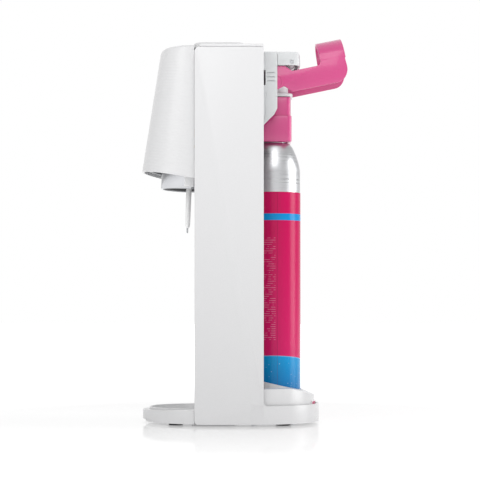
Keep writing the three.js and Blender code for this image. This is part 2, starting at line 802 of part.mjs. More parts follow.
function reliefValveStem() {
  const y = nozzleY - manifoldHalf;
  const z = reliefZ;
  return join(rodY(0, z, 1.3, [y - 12, y + 3], tiny), rodY(0, z, 2.6, [y - 12, y - 9.3], small));
}

// Hose from the receiver's barb, forward over the bottle bay and down on to the manifold's barb.
function gasHose() {
  const end = manifoldTop + 1;
  const endY = nozzleY + hoseOffset;
  const path = new THREE.CatmullRomCurve3([
    new THREE.Vector3(0, 29.5, hoseHeight),
    new THREE.Vector3(0, 20, hoseHeight),
    new THREE.Vector3(0, 2, hoseHeight - 2.5),
    new THREE.Vector3(0, -22, hoseHeight - 9),
    new THREE.Vector3(0, -38, hoseHeight - 21),
    new THREE.Vector3(0, endY, end + 11),
    new THREE.Vector3(0, endY, end),
  ]);
  const outer = swept(path, hoseOuter, 8, 22);
  const inner = swept(path, hoseInner, 6, 22);
  const mouths = [
    rodY(0, hoseHeight, hoseInner, [17.5, 33], tiny),
    rodZ(0, endY, hoseInner, [end - 2, end + 9], tiny),
  ];
  return cut(outer, inner, ...mouths);
}

// ---- Bottle holder, drawn upright and leaned forward in its group --------------------------

const yokeTop = collarBottom + 31.5;
const yokeBottom = yokeTop - 3;
const insertTop = collarBottom + collarHeight;
const mouthRadius = 17;

function bottleCollar() {
  return turned(nozzleY, [
    [collarRadius - 1.6, collarBottom + 0.8],
    [collarRadius - 0.8, collarBottom],
    [collarRadius, collarBottom + 0.8],
    [collarRadius, insertTop],
    [collarRadius - 1.6, insertTop],
    [collarRadius - 1.6, collarBottom + 0.8],
  ], fine);
}

function collarInsert() {
  const outer = collarRadius - 1.6 - gap;
  const low = collarBottom + 1;
  return turned(nozzleY, [
    [outer - 1, low],
    [outer, low + 1],
    [outer, insertTop],
    [8.4, insertTop],
    [8.4, insertTop - 3],
    [mouthRadius, insertTop - 3],
    [mouthRadius + 1, low + 9],
    [outer - 4, low + 2],
    [outer - 1, low],
  ], fine);
}

function bottleSeal() {
  const high = insertTop - 3 - gap;
  return tubeZ(0, nozzleY, mouthRadius - 0.6, 10, [high - 2.4, high], plain);
}

function collarYoke() {
  const inner = collarRadius + 0.7;
  const outer = lugInner - 0.6;
  const bridge = box([-outer, outer], [nozzleY - 12, holderPivotY + 5], [yokeBottom, yokeTop]);
  const blockFront = nozzleY - 4.2;
  const blockRear = blockFront + 10.8;
  const blocks = mirroredBoxes([inner, outer], [blockFront, blockRear], [collarBottom + 2, yokeTop - 1]);
  const ears = mirroredBoxes([outer - 4, outer], [holderPivotY - 5, holderPivotY + 5],
    [yokeBottom + 1, holderPivotZ + 5]);
  const carrierHole = rodZ(0, nozzleY, carrierRadius + gap, [yokeBottom - 1, yokeTop + 1], plain);
  const pinHoles = rodX(holderPivotY, holderPivotZ, 2.3, across, small);
  return cut(join(bridge, blocks, ears), carrierHole, pinHoles);
}

const carrierRadius = 8;

function nozzleCarrier() {
  const low = insertTop - 6;
  const high = holderPivotZ + 4;
  const body = rodZ(0, nozzleY, carrierRadius, [insertTop + gap, high], plain);
  const neck = rodZ(0, nozzleY, 7.6, [low, insertTop + 1], plain);
  const cup = rodZ(0, nozzleY, 5, [holderPivotZ - 3, high + 1], plain);
  const passage = rodZ(0, nozzleY, nozzleRadius + gap, [low - 1, low + 6], small);
  const jet = rodZ(0, nozzleY, 1.1, [low, high], tiny);
  return cut(join(body, neck), cup, passage, jet);
}

function nozzleTube() {
  const low = collarBottom - nozzleDrop;
  const high = insertTop - 0.4;
  const tube = turned(nozzleY, [
    [0, low],
    [1.7, low],
    [nozzleRadius, low + 2.4],
    [nozzleRadius, high],
    [0, high],
  ], plain);
  return cut(tube, rodZ(0, nozzleY, 1.3, [low - 1, insertTop + 9], tiny));
}

function nozzleTip() {
  const top = collarBottom - nozzleDrop + 4;
  const low = collarBottom - nozzleDrop - nozzleTipLength;
  const tip = turned(nozzleY, [[0, low], [0.7, low], [1, low + 0.8], [1, top], [0, top]], small);
  return cut(tip, rodZ(0, nozzleY, 0.4, [low - 1, top + 1], 8));
}

function holderPin(side) {
  const pin = rodX(holderPivotY, holderPivotZ, 2, [lugInner - 4.4, lugInner + 3.6], small);
  const head = rodX(holderPivotY, holderPivotZ, 3.4, [lugInner + 3 + gap, lugInner + 4.6], small);
  const whole = join(pin, head);
  return side > 0 ? whole : whole.mirror([1, 0, 0]);
}

// ---- Gas cylinder -------------------------------------------------------------------------

const metalRadius = cylinderRadius - 2 * labelThickness;
const labelBottom = cylinderFloor + 8;
const labelTop = cylinderTop - 58;
const neckRadius = 13.8;
const neckBore = 9.3;

function cylinderBody() {
  const top = cylinderTop;
  const low = cylinderFloor;
  const scale = metalRadius / 30;
  const shoulder = [[30, -35], [29.4, -30], [27.3, -21.2], [23.5, -11.4], [18.2, -2.6]]
    .map(([radius, drop]) => [radius * scale, top + drop]);
  const inside = [[27, -37], [24, -24], [17, -12.4], [neckBore, -9.6]]
    .map(([radius, drop]) => [Math.min(radius * scale, metalRadius - cylinderWall), top + drop]);
  return turned(cylinderAxis, [
    [0, low + 3],
    [18, low],
    [metalRadius - 4, low],
    [metalRadius, low + 5],
    ...shoulder,
    [neckRadius, top - 2.1],
    [neckRadius, top],
    [neckBore, top],
    ...inside.reverse(),
    [metalRadius - cylinderWall, low + 8],
    [0, low + 6],
  ], fine);
}

function cylinderLabel() {
  const inner = metalRadius + labelThickness;
  return tubeZ(0, cylinderAxis, cylinderRadius, inner, [labelBottom, labelTop], fine);
}

const valveRadius = 12.4;
const valveTop = guardTop - 1.2;

function valveGuard() {
  const block = (halfX, halfY, radius) => roundedOutline([
    [-halfX, cylinderAxis - halfY, radius],
    [halfX, cylinderAxis - halfY, radius],
    [halfX, cylinderAxis + halfY, radius],
    [-halfX, cylinderAxis + halfY, radius],
  ]);
  const split = guardBottom + guardLowerHeight;
  const lower = prismZ(block(22, 19.4, 5), [guardBottom + 0.2, split]);
  const upper = prismZ(block(20, 18.4, 5), [split - 1, guardTop]);
  const bore = rodZ(0, cylinderAxis, valveRadius + gap, [guardBottom - 1, guardTop + 1], plain);
  const neckPocket = rodZ(0, cylinderAxis, neckRadius + gap, [guardBottom - 1, cylinderTop + gap], plain);
  return cut(join(lower, upper), bore, neckPocket);
}

function cylinderValve() {
  const low = cylinderTop - 16;
  const body = turned(cylinderAxis, [
    [0, low],
    [6, low],
    [neckBore - gap, low + 2],
    [neckBore - gap, cylinderTop + gap],
    [valveRadius, cylinderTop + gap],
    [valveRadius, valveTop - 10],
    [valveRadius - 2, valveTop - 8],
    [valveRadius - 2, valveTop],
    [0, valveTop],
  ], plain);
  return cut(body, rodZ(0, cylinderAxis, 1.6 + gap, [low - 1, valveTop + 1], tiny));
}

function cylinderValvePin() {
  return rodZ(0, cylinderAxis, 1.5, [cylinderTop - 12, guardTop - 1.6 - gap], tiny);
}

function cylinderValveSeal() {
  const low = valveTop - 8;
  return tubeZ(0, cylinderAxis, valveRadius - 0.4, valveRadius - 1.7, [low + 2, low + 3.6], plain);
}

// ---- Cylinder seat ------------------------------------------------------------------------

const seatInset = 4.6;
const seatTop = 40.7;
const seatRearTop = 32.4;
const cupClearance = 1;
const cupFrontTop = 52.5;
const cupRearTop = 36.4;

function cylinderSeat() {
  const cupInner = cylinderRadius + cupClearance;
  const cupOuter = cupInner + 3.2;
  const rear = baseDepth / 2 - seatInset;
  const front = bottleAxis + recessRadius + wall + 2;
  const deckProfile = (drop) => roundedOutline([
    [front - 1, floorTop - 1],
    [rear + 5, floorTop - 1],
    [rear + 5, seatRearTop - drop - 3],
    [rear - 26, seatTop - drop, 30],
    [front - 1, seatTop - drop],
  ]);
  const region = (inset) => prismZ(skirtPlan(seatInset + inset), [floorTop, 90])
    .intersect(box(across, [front + inset, baseDepth], [0, 90]));
  const outer = region(0).intersect(prismX(deckProfile(0), across, 6));
  const inner = cut(region(wall), box(across, [0, 120], [seatTop - 40, floorTop]))
    .intersect(prismX(deckProfile(wall), across, 6));
  const cupCut = outline([
    [cylinderAxis - cupOuter - 1, floorTop],
    [cylinderAxis + cupOuter + 1, floorTop],
    [cylinderAxis + cupOuter + 1, cupRearTop],
    [cylinderAxis - cupOuter - 1, cupFrontTop],
  ]);
  const cup = rodZ(0, cylinderAxis, cupOuter, [floorTop, 90], fine).intersect(prismX(cupCut, across));
  const pocket = rodZ(0, cylinderAxis, cupInner, [cylinderFloor - gap, 120], fine);
  const cupHollow = rodZ(0, cylinderAxis, cupInner, [floorTop - 1, cylinderFloor - gap - 3], fine);
  const screwPosts = baseScrewPlaces.map(([x, y]) => rodZ(x, y, 4, [floorTop, 90], small).intersect(outer));
  const screwHoles = baseScrewPlaces.map(([x, y]) => rodZ(x, y, 1.8, [0, 15], tiny));
  const shell = join(cut(outer, inner), cup, ...screwPosts);
  return cut(shell, pocket, cupHollow, ...screwHoles);
}

function cylinderTag() {
  const ring = (grow, zRange) => prismZ(skirtPlan(seatInset - grow), zRange);
  const zRange = [21.5, 26];
  const skin = cut(ring(1.1, zRange), ring(gap, [0, 60]));
  return skin.intersect(box([11, 27], [60, baseDepth], [0, 60]));
}

// ---- Assembly -----------------------------------------------------------------------------

const whitePlastic = { color: 0xe9e9ea, roughness: 0.35, metalness: 0 };
const greyPlastic = { color: 0xced0d1, roughness: 0.45, metalness: 0 };
const darkPlastic = { color: 0x2a2a2d, roughness: 0.5, metalness: 0 };
const pinkPlastic = { color: 0xcb5c93, roughness: 0.35, metalness: 0 };
const magentaPrint = { color: 0xb3154f, roughness: 0.4, metalness: 0 };
const chrome = { color: 0xd5d7da, roughness: 0.12, metalness: 1 };
const steel = { color: 0xb9bbbe, roughness: 0.35, metalness: 1 };
const aluminium = { color: 0xbfc1c4, roughness: 0.4, metalness: 1 };
const brass = { color: 0xc5a253, roughness: 0.35, metalness: 1 };
const rubber = { color: 0x1c1c1e, roughness: 0.8, metalness: 0 };
const hoseRubber = { color: 0xe2e2e0, roughness: 0.5, metalness: 0 };

const machine = new THREE.Group();

function add(name, solid, finish, parent = machine) {
  const mesh = new THREE.Mesh(toGeometry(solid), new THREE.MeshStandardMaterial(finish));
  mesh.name = name;
  parent.add(mesh);
  return mesh;
}

const sides = [['left', -1], ['right', 1]];

add('main_housing', mainHousing(), whitePlastic);
add('base_plate', basePlate(), whitePlastic);
add('front_base', frontBase(), whitePlastic);
add('drip_tray', dripTray(), whitePlastic);
footPlaces.forEach(([x, y], i) => add(`foot_${i + 1}`, foot(), rubber).position.set(x, y, 0));

add('head_cover', headCover(), whitePlastic);
add('head_bottom_plate', headBottomPlate(), darkPlastic);
add('top_cover', topCover(), whitePlastic);
add('carbonation_button', carbonationButton(), whitePlastic);
add('button_spring', buttonSpring(), steel);

add('inner_frame', innerFrame(), greyPlastic);
add('rear_cap', rearCap(), greyPlastic);
add('actuator_rocker', actuatorRocker(), greyPlastic);
add('actuator_pin', rodX(rockerPivotY, rockerPivotZ, pinRadius, [-30.6, 30.6], small), steel);
add('receiver', receiver(), greyPlastic);
add('seal_plunger', sealPlunger(), brass);
add('plunger_gasket', plungerGasket(), rubber);
add('push_pin', pushPin(), steel);

const leverGroup = new THREE.Group();
leverGroup.position.set(0, pivotY, pivotZ);
leverGroup.rotation.x = (leverAngle * Math.PI) / 180;
machine.add(leverGroup);
add('quick_connect_lever', quickConnectLever(), pinkPlastic, leverGroup);
sides.forEach(([side, sign]) => add(`lever_axle_${side}`, leverAxle(sign), steel));

add('head_chassis', headChassis(), greyPlastic);
add('gas_manifold', gasManifold(), brass);
add('gas_hose', gasHose(), hoseRubber);
add('relief_valve_body', reliefValveBody(), brass);
add('relief_valve_stem', reliefValveStem(), steel);
sides.forEach(([side, sign]) => add(`holder_pin_${side}`, holderPin(sign), steel));

const holderGroup = new THREE.Group();
const leaningHolder = new THREE.Group();
leaningHolder.position.set(0, holderPivotY, holderPivotZ);
leaningHolder.rotation.x = (-holderTilt * Math.PI) / 180;
holderGroup.position.set(0, -holderPivotY, -holderPivotZ);
leaningHolder.add(holderGroup);
machine.add(leaningHolder);
add('bottle_collar', bottleCollar(), chrome, holderGroup);
add('collar_insert', collarInsert(), darkPlastic, holderGroup);
add('bottle_seal', bottleSeal(), rubber, holderGroup);
add('collar_yoke', collarYoke(), whitePlastic, holderGroup);
add('nozzle_carrier', nozzleCarrier(), greyPlastic, holderGroup);
add('nozzle_tube', nozzleTube(), greyPlastic, holderGroup);
add('nozzle_tip', nozzleTip(), steel, holderGroup);

add('cylinder_body', cylinderBody(), aluminium);
add('cylinder_label', cylinderLabel(), magentaPrint);
add('valve_guard', valveGuard(), pinkPlastic);
add('cylinder_valve', cylinderValve(), brass);
add('cylinder_valve_pin', cylinderValvePin(), steel);
add('cylinder_valve_seal', cylinderValveSeal(), rubber);
add('cylinder_seat', cylinderSeat(), whitePlastic);
add('cylinder_tag', cylinderTag(), pinkPlastic);

const screw = screwSolid(screwRadius, 6);
postHeights.forEach((z, row) => sides.forEach(([side, sign]) => {
  const mesh = add(`frame_screw_${row + 1}_${side}`, screw, steel);
  mesh.rotation.x = -Math.PI / 2;
  mesh.position.set(sign * postSide, wingFront + 2.5 + gap, z);
}));
receiverScrewPlaces.forEach(([x, y], i) => {
  add(`receiver_screw_${i + 1}`, screw, steel).position.set(x, y, deckTop + gap);
});
chassisScrewPlaces.forEach(([x, y], i) => {
  const mesh = add(`chassis_screw_${i + 1}`, screw, steel);
  mesh.rotation.x = Math.PI;
  mesh.position.set(x, y, chassisBottom - gap);
});
baseScrewPlaces.forEach(([x, y], i) => {
  const mesh = add(`base_screw_${i + 1}`, screwSolid(1.5, 8), steel);
  mesh.rotation.x = Math.PI;
  mesh.position.set(x, y, basePlateBottom - gap + 0.2);
});

// The row's origin is the middle of the footprint of everything, on the table.
machine.updateMatrixWorld(true);
const extent = new THREE.Box3().setFromObject(machine, true);
machine.position.y = -(extent.min.y + extent.max.y) / 2;
const part = new THREE.Group();
part.add(machine);

export default part;
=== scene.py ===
import math

import bpy
from mathutils import Matrix, Vector


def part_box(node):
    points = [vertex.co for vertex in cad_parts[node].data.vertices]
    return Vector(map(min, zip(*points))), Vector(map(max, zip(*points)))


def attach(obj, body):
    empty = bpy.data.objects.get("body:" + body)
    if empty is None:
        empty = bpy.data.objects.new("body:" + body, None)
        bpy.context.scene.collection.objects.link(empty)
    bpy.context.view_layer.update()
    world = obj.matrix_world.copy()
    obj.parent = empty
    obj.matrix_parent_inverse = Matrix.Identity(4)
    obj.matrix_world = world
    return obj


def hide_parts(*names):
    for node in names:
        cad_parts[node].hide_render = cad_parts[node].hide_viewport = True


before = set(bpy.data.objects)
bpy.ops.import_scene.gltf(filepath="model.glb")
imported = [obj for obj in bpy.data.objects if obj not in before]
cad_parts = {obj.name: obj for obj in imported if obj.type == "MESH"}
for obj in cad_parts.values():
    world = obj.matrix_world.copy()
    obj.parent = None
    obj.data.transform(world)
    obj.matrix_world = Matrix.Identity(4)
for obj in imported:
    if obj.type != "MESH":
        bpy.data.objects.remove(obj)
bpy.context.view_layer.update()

# ---- Studio ---------------------------------------------------------------------------------
# A seamless white lacquered table in a white room that is darker to both sides, with soft panels
# in front, above and behind, and a long lens square to the machine's side. None of it is part of
# the machine.

mm = 0.001


def put(tree, kind, inputs=None, **settings):
    """Adds a shader node. Each input is a value, or another node's socket to link from."""
    node = tree.nodes.new(kind)
    for name, value in settings.items():
        setattr(node, name, value)
    for name, value in (inputs or {}).items():
        if isinstance(value, bpy.types.NodeSocket):
            tree.links.new(value, node.inputs[name])
        else:
            node.inputs[name].default_value = value
    return node


def linear(code):
    """An sRGB hex colour as the linear colour that a shader takes."""
    values = [int(code[i:i + 2], 16) / 255 for i in (1, 3, 5)]
    return [v / 12.92 if v <= 0.04045 else ((v + 0.055) / 1.055) ** 2.4 for v in values] + [1.0]


def empty_material(name):
    material = bpy.data.materials.new(name)
    material.use_nodes = True
    material.node_tree.nodes.clear()
    return material, material.node_tree


def give_surface(tree, surface):
    put(tree, "ShaderNodeOutputMaterial", {"Surface": surface.outputs[0]})


def lacquered_table():
    # White lacquered board: bright, with a weak mirror that is clearest close to the machine.
    material, tree = empty_material("lacquered_table")
    soft = put(tree, "ShaderNodeBsdfDiffuse", {"Color": linear("#BCBCBC")})
    place = put(tree, "ShaderNodeTexCoord")
    away = put(tree, "ShaderNodeVectorMath", {0: place.outputs["Object"]}, operation="LENGTH")
    lift = put(tree, "ShaderNodeMapRange", {"Value": away.outputs["Value"], "From Min": 0.35,
               "From Max": 0.9, "To Min": 0.52, "To Max": 1.0})
    glow = put(tree, "ShaderNodeEmission",
               {"Color": linear("#FFFFFF"), "Strength": lift.outputs[0]})
    base = put(tree, "ShaderNodeAddShader", {0: soft.outputs[0], 1: glow.outputs[0]})
    mirror = put(tree, "ShaderNodeBsdfGlossy", {"Color": linear("#FFFFFF"), "Roughness": 0.06})
    clear = put(tree, "ShaderNodeMapRange", {"Value": away.outputs["Value"], "From Min": 0.08,
                "From Max": 0.55, "To Min": 0.5, "To Max": 0.0})
    mix = put(tree, "ShaderNodeMixShader",
              {0: clear.outputs[0], 1: base.outputs[0], 2: mirror.outputs[0]})
    give_surface(tree, mix)
    return material


def build_studio():
    bpy.ops.object.select_all(action="DESELECT")
    bpy.ops.mesh.primitive_plane_add(size=16)
    table = bpy.context.object
    table.name = "table"
    table.data.materials.append(lacquered_table())
    room = bpy.data.worlds.new("white_room")
    room.use_nodes = True
    tree = room.node_tree
    tree.nodes.clear()
    direction = put(tree, "ShaderNodeTexCoord")
    parts = put(tree, "ShaderNodeSeparateXYZ", {"Vector": direction.outputs["Generated"]})
    aside = put(tree, "ShaderNodeMath", {0: parts.outputs["Y"]}, operation="ABSOLUTE")
    fade = put(tree, "ShaderNodeMapRange", {"Value": aside.outputs[0], "From Min": 0.25,
               "From Max": 0.85, "To Min": 1.0, "To Max": 0.4})
    near = put(tree, "ShaderNodeMapRange", {"Value": parts.outputs["X"], "From Min": -0.2,
               "From Max": 0.3, "To Min": 1.0, "To Max": 0.84})
    light = put(tree, "ShaderNodeMath", {0: fade.outputs[0], 1: near.outputs[0]}, operation="MULTIPLY")
    wall = put(tree, "ShaderNodeBackground", {"Color": linear("#FFFFFF"), "Strength": light.outputs[0]})
    put(tree, "ShaderNodeOutputWorld", {"Surface": wall.outputs[0]})
    bpy.context.scene.world = room
    panels = [
        ("key_panel", (1.1, -1.2, 0.9), (1.0, 1.0), 4.8),
        ("top_panel", (0.75, 0.0, 0.95), (0.5, 0.7), 2.2),
        ("rear_panel", (0.05, 1.5, 0.45), (0.7, 1.2), 11.0),
    ]
    for name, place, size, power in panels:
        lamp = bpy.data.lights.new(name, "AREA")
        lamp.shape = "RECTANGLE"
        lamp.size, lamp.size_y = size
        lamp.energy = power
        panel = bpy.data.objects.new(name, lamp)
        panel.location = place
        aim = Vector((0, 0, 0.22)) - Vector(place)
        panel.rotation_euler = aim.to_track_quat("-Z", "Y").to_euler()
        bpy.context.scene.collection.objects.link(panel)


def build_camera(base_y):
    distance = 1.820
    eye = Vector((distance, (base_y + 8.8) * mm, 0.1358))
    lens = bpy.data.cameras.new("camera")
    lens.sensor_width = 36
    lens.lens = 121.05
    lens.shift_y = 0.1288
    lens.clip_end = 30
    camera = bpy.data.objects.new("camera", lens)
    camera.location = eye
    camera.rotation_euler = (math.pi / 2, 0, math.pi / 2)
    bpy.context.scene.collection.objects.link(camera)
    bpy.context.scene.camera = camera
    bpy.context.scene.view_settings.view_transform = "Standard"


def box_mm(node):
    low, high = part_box(node)
    return low / mm, high / mm


housing_low, housing_high = box_mm("main_housing")
base_half_depth = 97.5
base_y = housing_high.y - base_half_depth  # middle of the oval base; places along Y count from it
build_studio()
build_camera(base_y)

# ---- Main housing ---------------------------------------------------------------------------
# The white column: one glossy ABS moulding with two flat side panels, the round hollow that the
# bottle stands in and the low rim round the rear of the base. Screws from below hold it to the
# base plate. All lengths from here on are millimetres.


def oval(a, b, centre, power, start, end, steps):
    """Points of an oval of half sizes a and b round (0, centre), between two angles in degrees."""
    points = []
    for i in range(steps + 1):
        angle = math.radians(start + (end - start) * i / steps)
        c, s = math.cos(angle), math.sin(angle)
        x = math.copysign(abs(c) ** (2 / power), c) * a
        y = math.copysign(abs(s) ** (2 / power), s) * b
        points.append((x, centre + y))
    return points


def rounded(corners, steps=8):
    """Outline through corners given as (u, v) or, with an arc, (u, v, radius)."""
    points = []
    for i, corner in enumerate(corners):
        here = Vector(corner[:2])
        if len(corner) == 2 or corner[2] <= 0:
            points.append(tuple(here))
            continue
        before = (Vector(corners[i - 1][:2]) - here).normalized()
        after = (Vector(corners[(i + 1) % len(corners)][:2]) - here).normalized()
        half = before.angle(after) / 2
        centre = here + (before + after).normalized() * corner[2] / math.sin(half)
        first = here + before * corner[2] / math.tan(half) - centre
        last = here + after * corner[2] / math.tan(half) - centre
        turn = math.atan2(first.x * last.y - first.y * last.x, first.dot(last))
        for k in range(steps + 1):
            c, s = math.cos(turn * k / steps), math.sin(turn * k / steps)
            points.append((centre.x + first.x * c - first.y * s, centre.y + first.x * s + first.y * c))
    return points


def edit(piece, *steps):
    """Runs edit-mode operators, each a call with no arguments, on all of a piece."""
    bpy.ops.object.select_all(action="DESELECT")
    bpy.context.view_layer.objects.active = piece
    piece.select_set(True)
    bpy.ops.object.mode_set(mode="EDIT")
    bpy.ops.mesh.select_all(action="SELECT")
    for step in steps:
        step()
    bpy.ops.object.mode_set(mode="OBJECT")
    return piece


def outward():
    bpy.ops.mesh.select_all(action="SELECT")
    bpy.ops.mesh.normals_make_consistent(inside=False)


def disc(outline, place, fill="NGON"):
    """A circle whose rim is moved on to an outline."""
    bpy.ops.object.select_all(action="DESELECT")
    bpy.ops.mesh.primitive_circle_add(vertices=len(outline), radius=10 * mm, fill_type=fill)
    piece = bpy.context.object
    for vertex, (u, v) in zip(piece.data.vertices, outline):
        vertex.co = Vector(place(u, v)) * mm
    return piece


def prism(outline, start, end, axis="Z", soft=0.0):
    """An outline drawn across an axis and extruded along it, its two rims rounded by soft."""
    place = {
        "X": lambda u, v: (start, u, v),
        "Y": lambda u, v: (u, start, v),
        "Z": lambda u, v: (u, v, start),
    }[axis]
    pull = [(end - start) * mm if letter == axis else 0 for letter in "XYZ"]
    piece = disc(outline, place)
    edit(piece, lambda: bpy.ops.mesh.extrude_region_move(TRANSFORM_OT_translate={"value": pull}), outward)
    if soft:
        soften(piece, soft)
    return piece


def block(x_span, y_span, z_span):
    """A cube brought to its size and place."""
    spans = (x_span, y_span, z_span)
    bpy.ops.object.select_all(action="DESELECT")
    bpy.ops.mesh.primitive_cube_add(size=1, location=[(low + high) / 2 * mm for low, high in spans])
    piece = bpy.context.object
    piece.scale = [(high - low) * mm for low, high in spans]
    bpy.ops.object.transform_apply(location=True, rotation=True, scale=True)
    return piece


def rod(centre, radius, start, end, axis="Z", sides=64, soft=0.0):
    """A round bar along an axis. centre holds its two other coordinates, in X, Y, Z order."""
    ring = []
    for i in range(sides):
        angle = 2 * math.pi * i / sides
        ring.append((centre[0] + radius * math.cos(angle), centre[1] + radius * math.sin(angle)))
    return prism(ring, start, end, axis, soft)


def spun(profile, y, x=0.0, steps=96):
    """A closed profile of (radius, height) spun round the upright line through (x, y)."""
    piece = disc(profile, lambda u, v: (x + u, y, v), "NOTHING")
    return edit(
        piece,
        lambda: bpy.ops.mesh.spin(steps=steps, angle=2 * math.pi, center=(x * mm, y * mm, 0), axis=(0, 0, 1)),
        lambda: bpy.ops.mesh.select_all(action="SELECT"),
        lambda: bpy.ops.mesh.remove_doubles(threshold=0.002 * mm),
        outward,
    )


def finish_with(piece, kind, **settings):
    """Adds a modifier and applies it."""
    bpy.ops.object.select_all(action="DESELECT")
    bpy.context.view_layer.objects.active = piece
    piece.select_set(True)
    modifier = piece.modifiers.new(kind.lower(), kind)
    for name, value in settings.items():
        setattr(modifier, name, value)
    bpy.ops.object.modifier_apply(modifier=modifier.name)
    return piece


def combine(piece, operation, others):
    for other in others:
        finish_with(piece, "BOOLEAN", operation=operation, object=other, solver="EXACT")
        bpy.data.objects.remove(other, do_unlink=True)
    return piece


def cut(piece, *others):
    return combine(piece, "DIFFERENCE", others)


def fuse(piece, *others):
    return combine(piece, "UNION", others)


def common(piece, *others):
    return combine(piece, "INTERSECT", others)


def smooth(piece, angle=36):
    bpy.ops.object.select_all(action="DESELECT")
    bpy.context.view_layer.objects.active = piece
    piece.select_set(True)
    bpy.ops.object.shade_smooth_by_angle(angle=math.radians(angle))
    return piece


def soften(piece, width, segments=3, angle=34):
    """Rounds sharp edges by a small radius, then shades the faces between them smooth."""
    finish_with(piece, "BEVEL", width=width * mm, segments=segments, limit_method="ANGLE",
                angle_limit=math.radians(angle), miter_outer="MITER_ARC")
    return smooth(piece)


def deliver(piece, name, body, slot, material, *nodes):
    """Names and finishes a piece, which rides on a body and takes the place of CAD nodes."""
    piece.name = name
    piece.data.name = name
    piece.data.materials.clear()
    piece.data.materials.append(material)
    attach(piece, body)
    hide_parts(*nodes)
    return piece


def moulded_plastic(name, code, roughness, grain=0.4, relief=0.15, coat=0.0):
    """Injection-moulded plastic: colour all through, with the fine skin of its steel mould."""
    material, tree = empty_material(name)
    place = put(tree, "ShaderNodeTexCoord")
    skin = put(tree, "ShaderNodeTexNoise",
               {"Vector": place.outputs["Object"], "Scale": 1 / (grain * mm), "Detail": 3.0})
    shine = put(tree, "ShaderNodeMapRange", {"Value": skin.outputs["Fac"],
                "To Min": roughness - 0.03, "To Max": roughness + 0.03})
    tone = put(tree, "ShaderNodeMapRange", {"Value": skin.outputs["Fac"], "To Min": 0.98,
               "To Max": 1.0})
    tint = put(tree, "ShaderNodeVectorMath", {0: linear(code)[:3], "Scale": tone.outputs[0]},
               operation="SCALE")
    bump = put(tree, "ShaderNodeBump", {"Height": skin.outputs["Fac"], "Strength": relief,
               "Distance": 0.02 * mm})
    surface = put(tree, "ShaderNodeBsdfPrincipled", {"Base Color": tint.outputs[0],
                  "Roughness": shine.outputs[0], "Normal": bump.outputs[0], "IOR": 1.54,
                  "Coat Weight": coat, "Coat Roughness": 0.08})
    give_surface(tree, surface)
    return material


# ABS from a polished steel mould: soft gloss and no grain that the eye can pick out.
white_abs = moulded_plastic("white_gloss_abs", "#D7D7D8", 0.28)

housing_wall = 2.5
skirt_top = 22.5
half_width = housing_high.x
panel_front = housing_low.y
panel_rear = panel_front + 75
panel_top = housing_high.z
ground_gap = housing_low.z
bottle_y = base_y - 49
bay_radius = 52
bay_top = 275
floor_top = box_mm("base_plate")[1].z + 0.3


def skirt(inset, steps=120):
    """Side panels' lower ends and the rear half of the oval base, seen from above."""
    centre = base_y + 20
    a = half_width - inset
    b = base_half_depth - 20 - inset
    front = panel_front + inset
    return [(-a, front), (a, front)] + oval(a, b, centre, 2.1, 0, 180, steps)


def build_main_housing():
    far = base_y + 200
    side_view = rounded([
        (panel_front, ground_gap, 4),
        (far, ground_gap),
        (far, skirt_top),
        (panel_rear, skirt_top, 5),
        (panel_rear, panel_top),
        (panel_front, panel_top, 5),
    ])
    inner = half_width - housing_wall
    rim_height = skirt_top + 6
    housing = prism(skirt(0), ground_gap, rim_height)
    fuse(housing, block((-half_width, half_width), (panel_front, panel_rear), (skirt_top, panel_top)))
    cut(
        housing,
        prism(skirt(housing_wall), -1, rim_height + 1),
        block((-inner, inner), (panel_front + housing_wall, far), (skirt_top, panel_top + 1)),
    )
    column = rod((0, bottle_y), bay_radius + housing_wall, floor_top, bay_top, sides=160)
    common(column, block((-inner - 0.5, inner + 0.5), (panel_front + 0.1, panel_rear), (0, bay_top + 1)))
    fuse(housing, column)
    window = half_width - 12.5
    cut(
        housing,
        rod((0, bottle_y), bay_radius, -1, bay_top - housing_wall, sides=160),
        rod((0, bottle_y), 41.5, bay_top - 9, bay_top + 9, sides=96),
        block((-window, window), (panel_front - 20, panel_front + 3), (bay_top, panel_top + 1)),
        block((-inner, inner), (panel_front - 1, panel_front + housing_wall + 2), (0, floor_top)),
    )
    common(housing, prism(side_view, -half_width - 1, half_width + 1, "X"))
    soften(housing, 0.7)
    deliver(housing, "main_housing_shell", "machine", "white_plastic", white_abs, "main_housing")


build_main_housing()

# ---- Front base -----------------------------------------------------------------------------
# Nose of the oval base: a white ABS moulding with a gently rising top and a round dish that
# takes the drip tray. It clips on in front of the housing.


def nose(inset, steps=120):
    a = half_width - 0.5 - inset
    return oval(a, base_half_depth - inset, base_y, 2.15, 180, 360, steps)


def base_top(y):
    return 15.4 + (y - base_y + base_half_depth) * math.tan(math.radians(2.4))


def build_front_base():
    bay = bay_radius - 0.5
    nose_rear = panel_front - 0.3
    behind = bottle_y + bay
    outside = base_y - 150

    def form(inset):
        whole = prism(nose(inset), ground_gap, 40)
        common(whole, block((-99, 99), (outside, nose_rear), (0, 60)))
        fuse(whole, rod((0, bottle_y), bay - inset, floor_top, 40, sides=160))
        side = [(outside, ground_gap - 1), (behind + 1, ground_gap - 1),
                (behind + 1, base_top(behind + 1) - inset), (outside, base_top(outside) - inset)]
        return common(whole, prism(side, -99, 99, "X"))

    base = form(0)
    soften(base, 1.6, 4, 50)
    cut(base, form(housing_wall), prism(nose(housing_wall), 0, floor_top + 2))
    tray_floor = base_top(bottle_y) - 8
    dish = rod((0, bottle_y), 46.8, floor_top, base_top(bottle_y - 46.8) - 0.5, sides=128)
    fuse(base, dish)
    cut(base, rod((0, bottle_y), 44.3, tray_floor - 0.3, 60, sides=128))
    cut(base, block((-bay_radius, bay_radius), (nose_rear - housing_wall - 1, behind + 1), (0, floor_top)))
    smooth(base)
    deliver(base, "front_base_nose", "machine", "white_plastic", white_abs, "front_base")


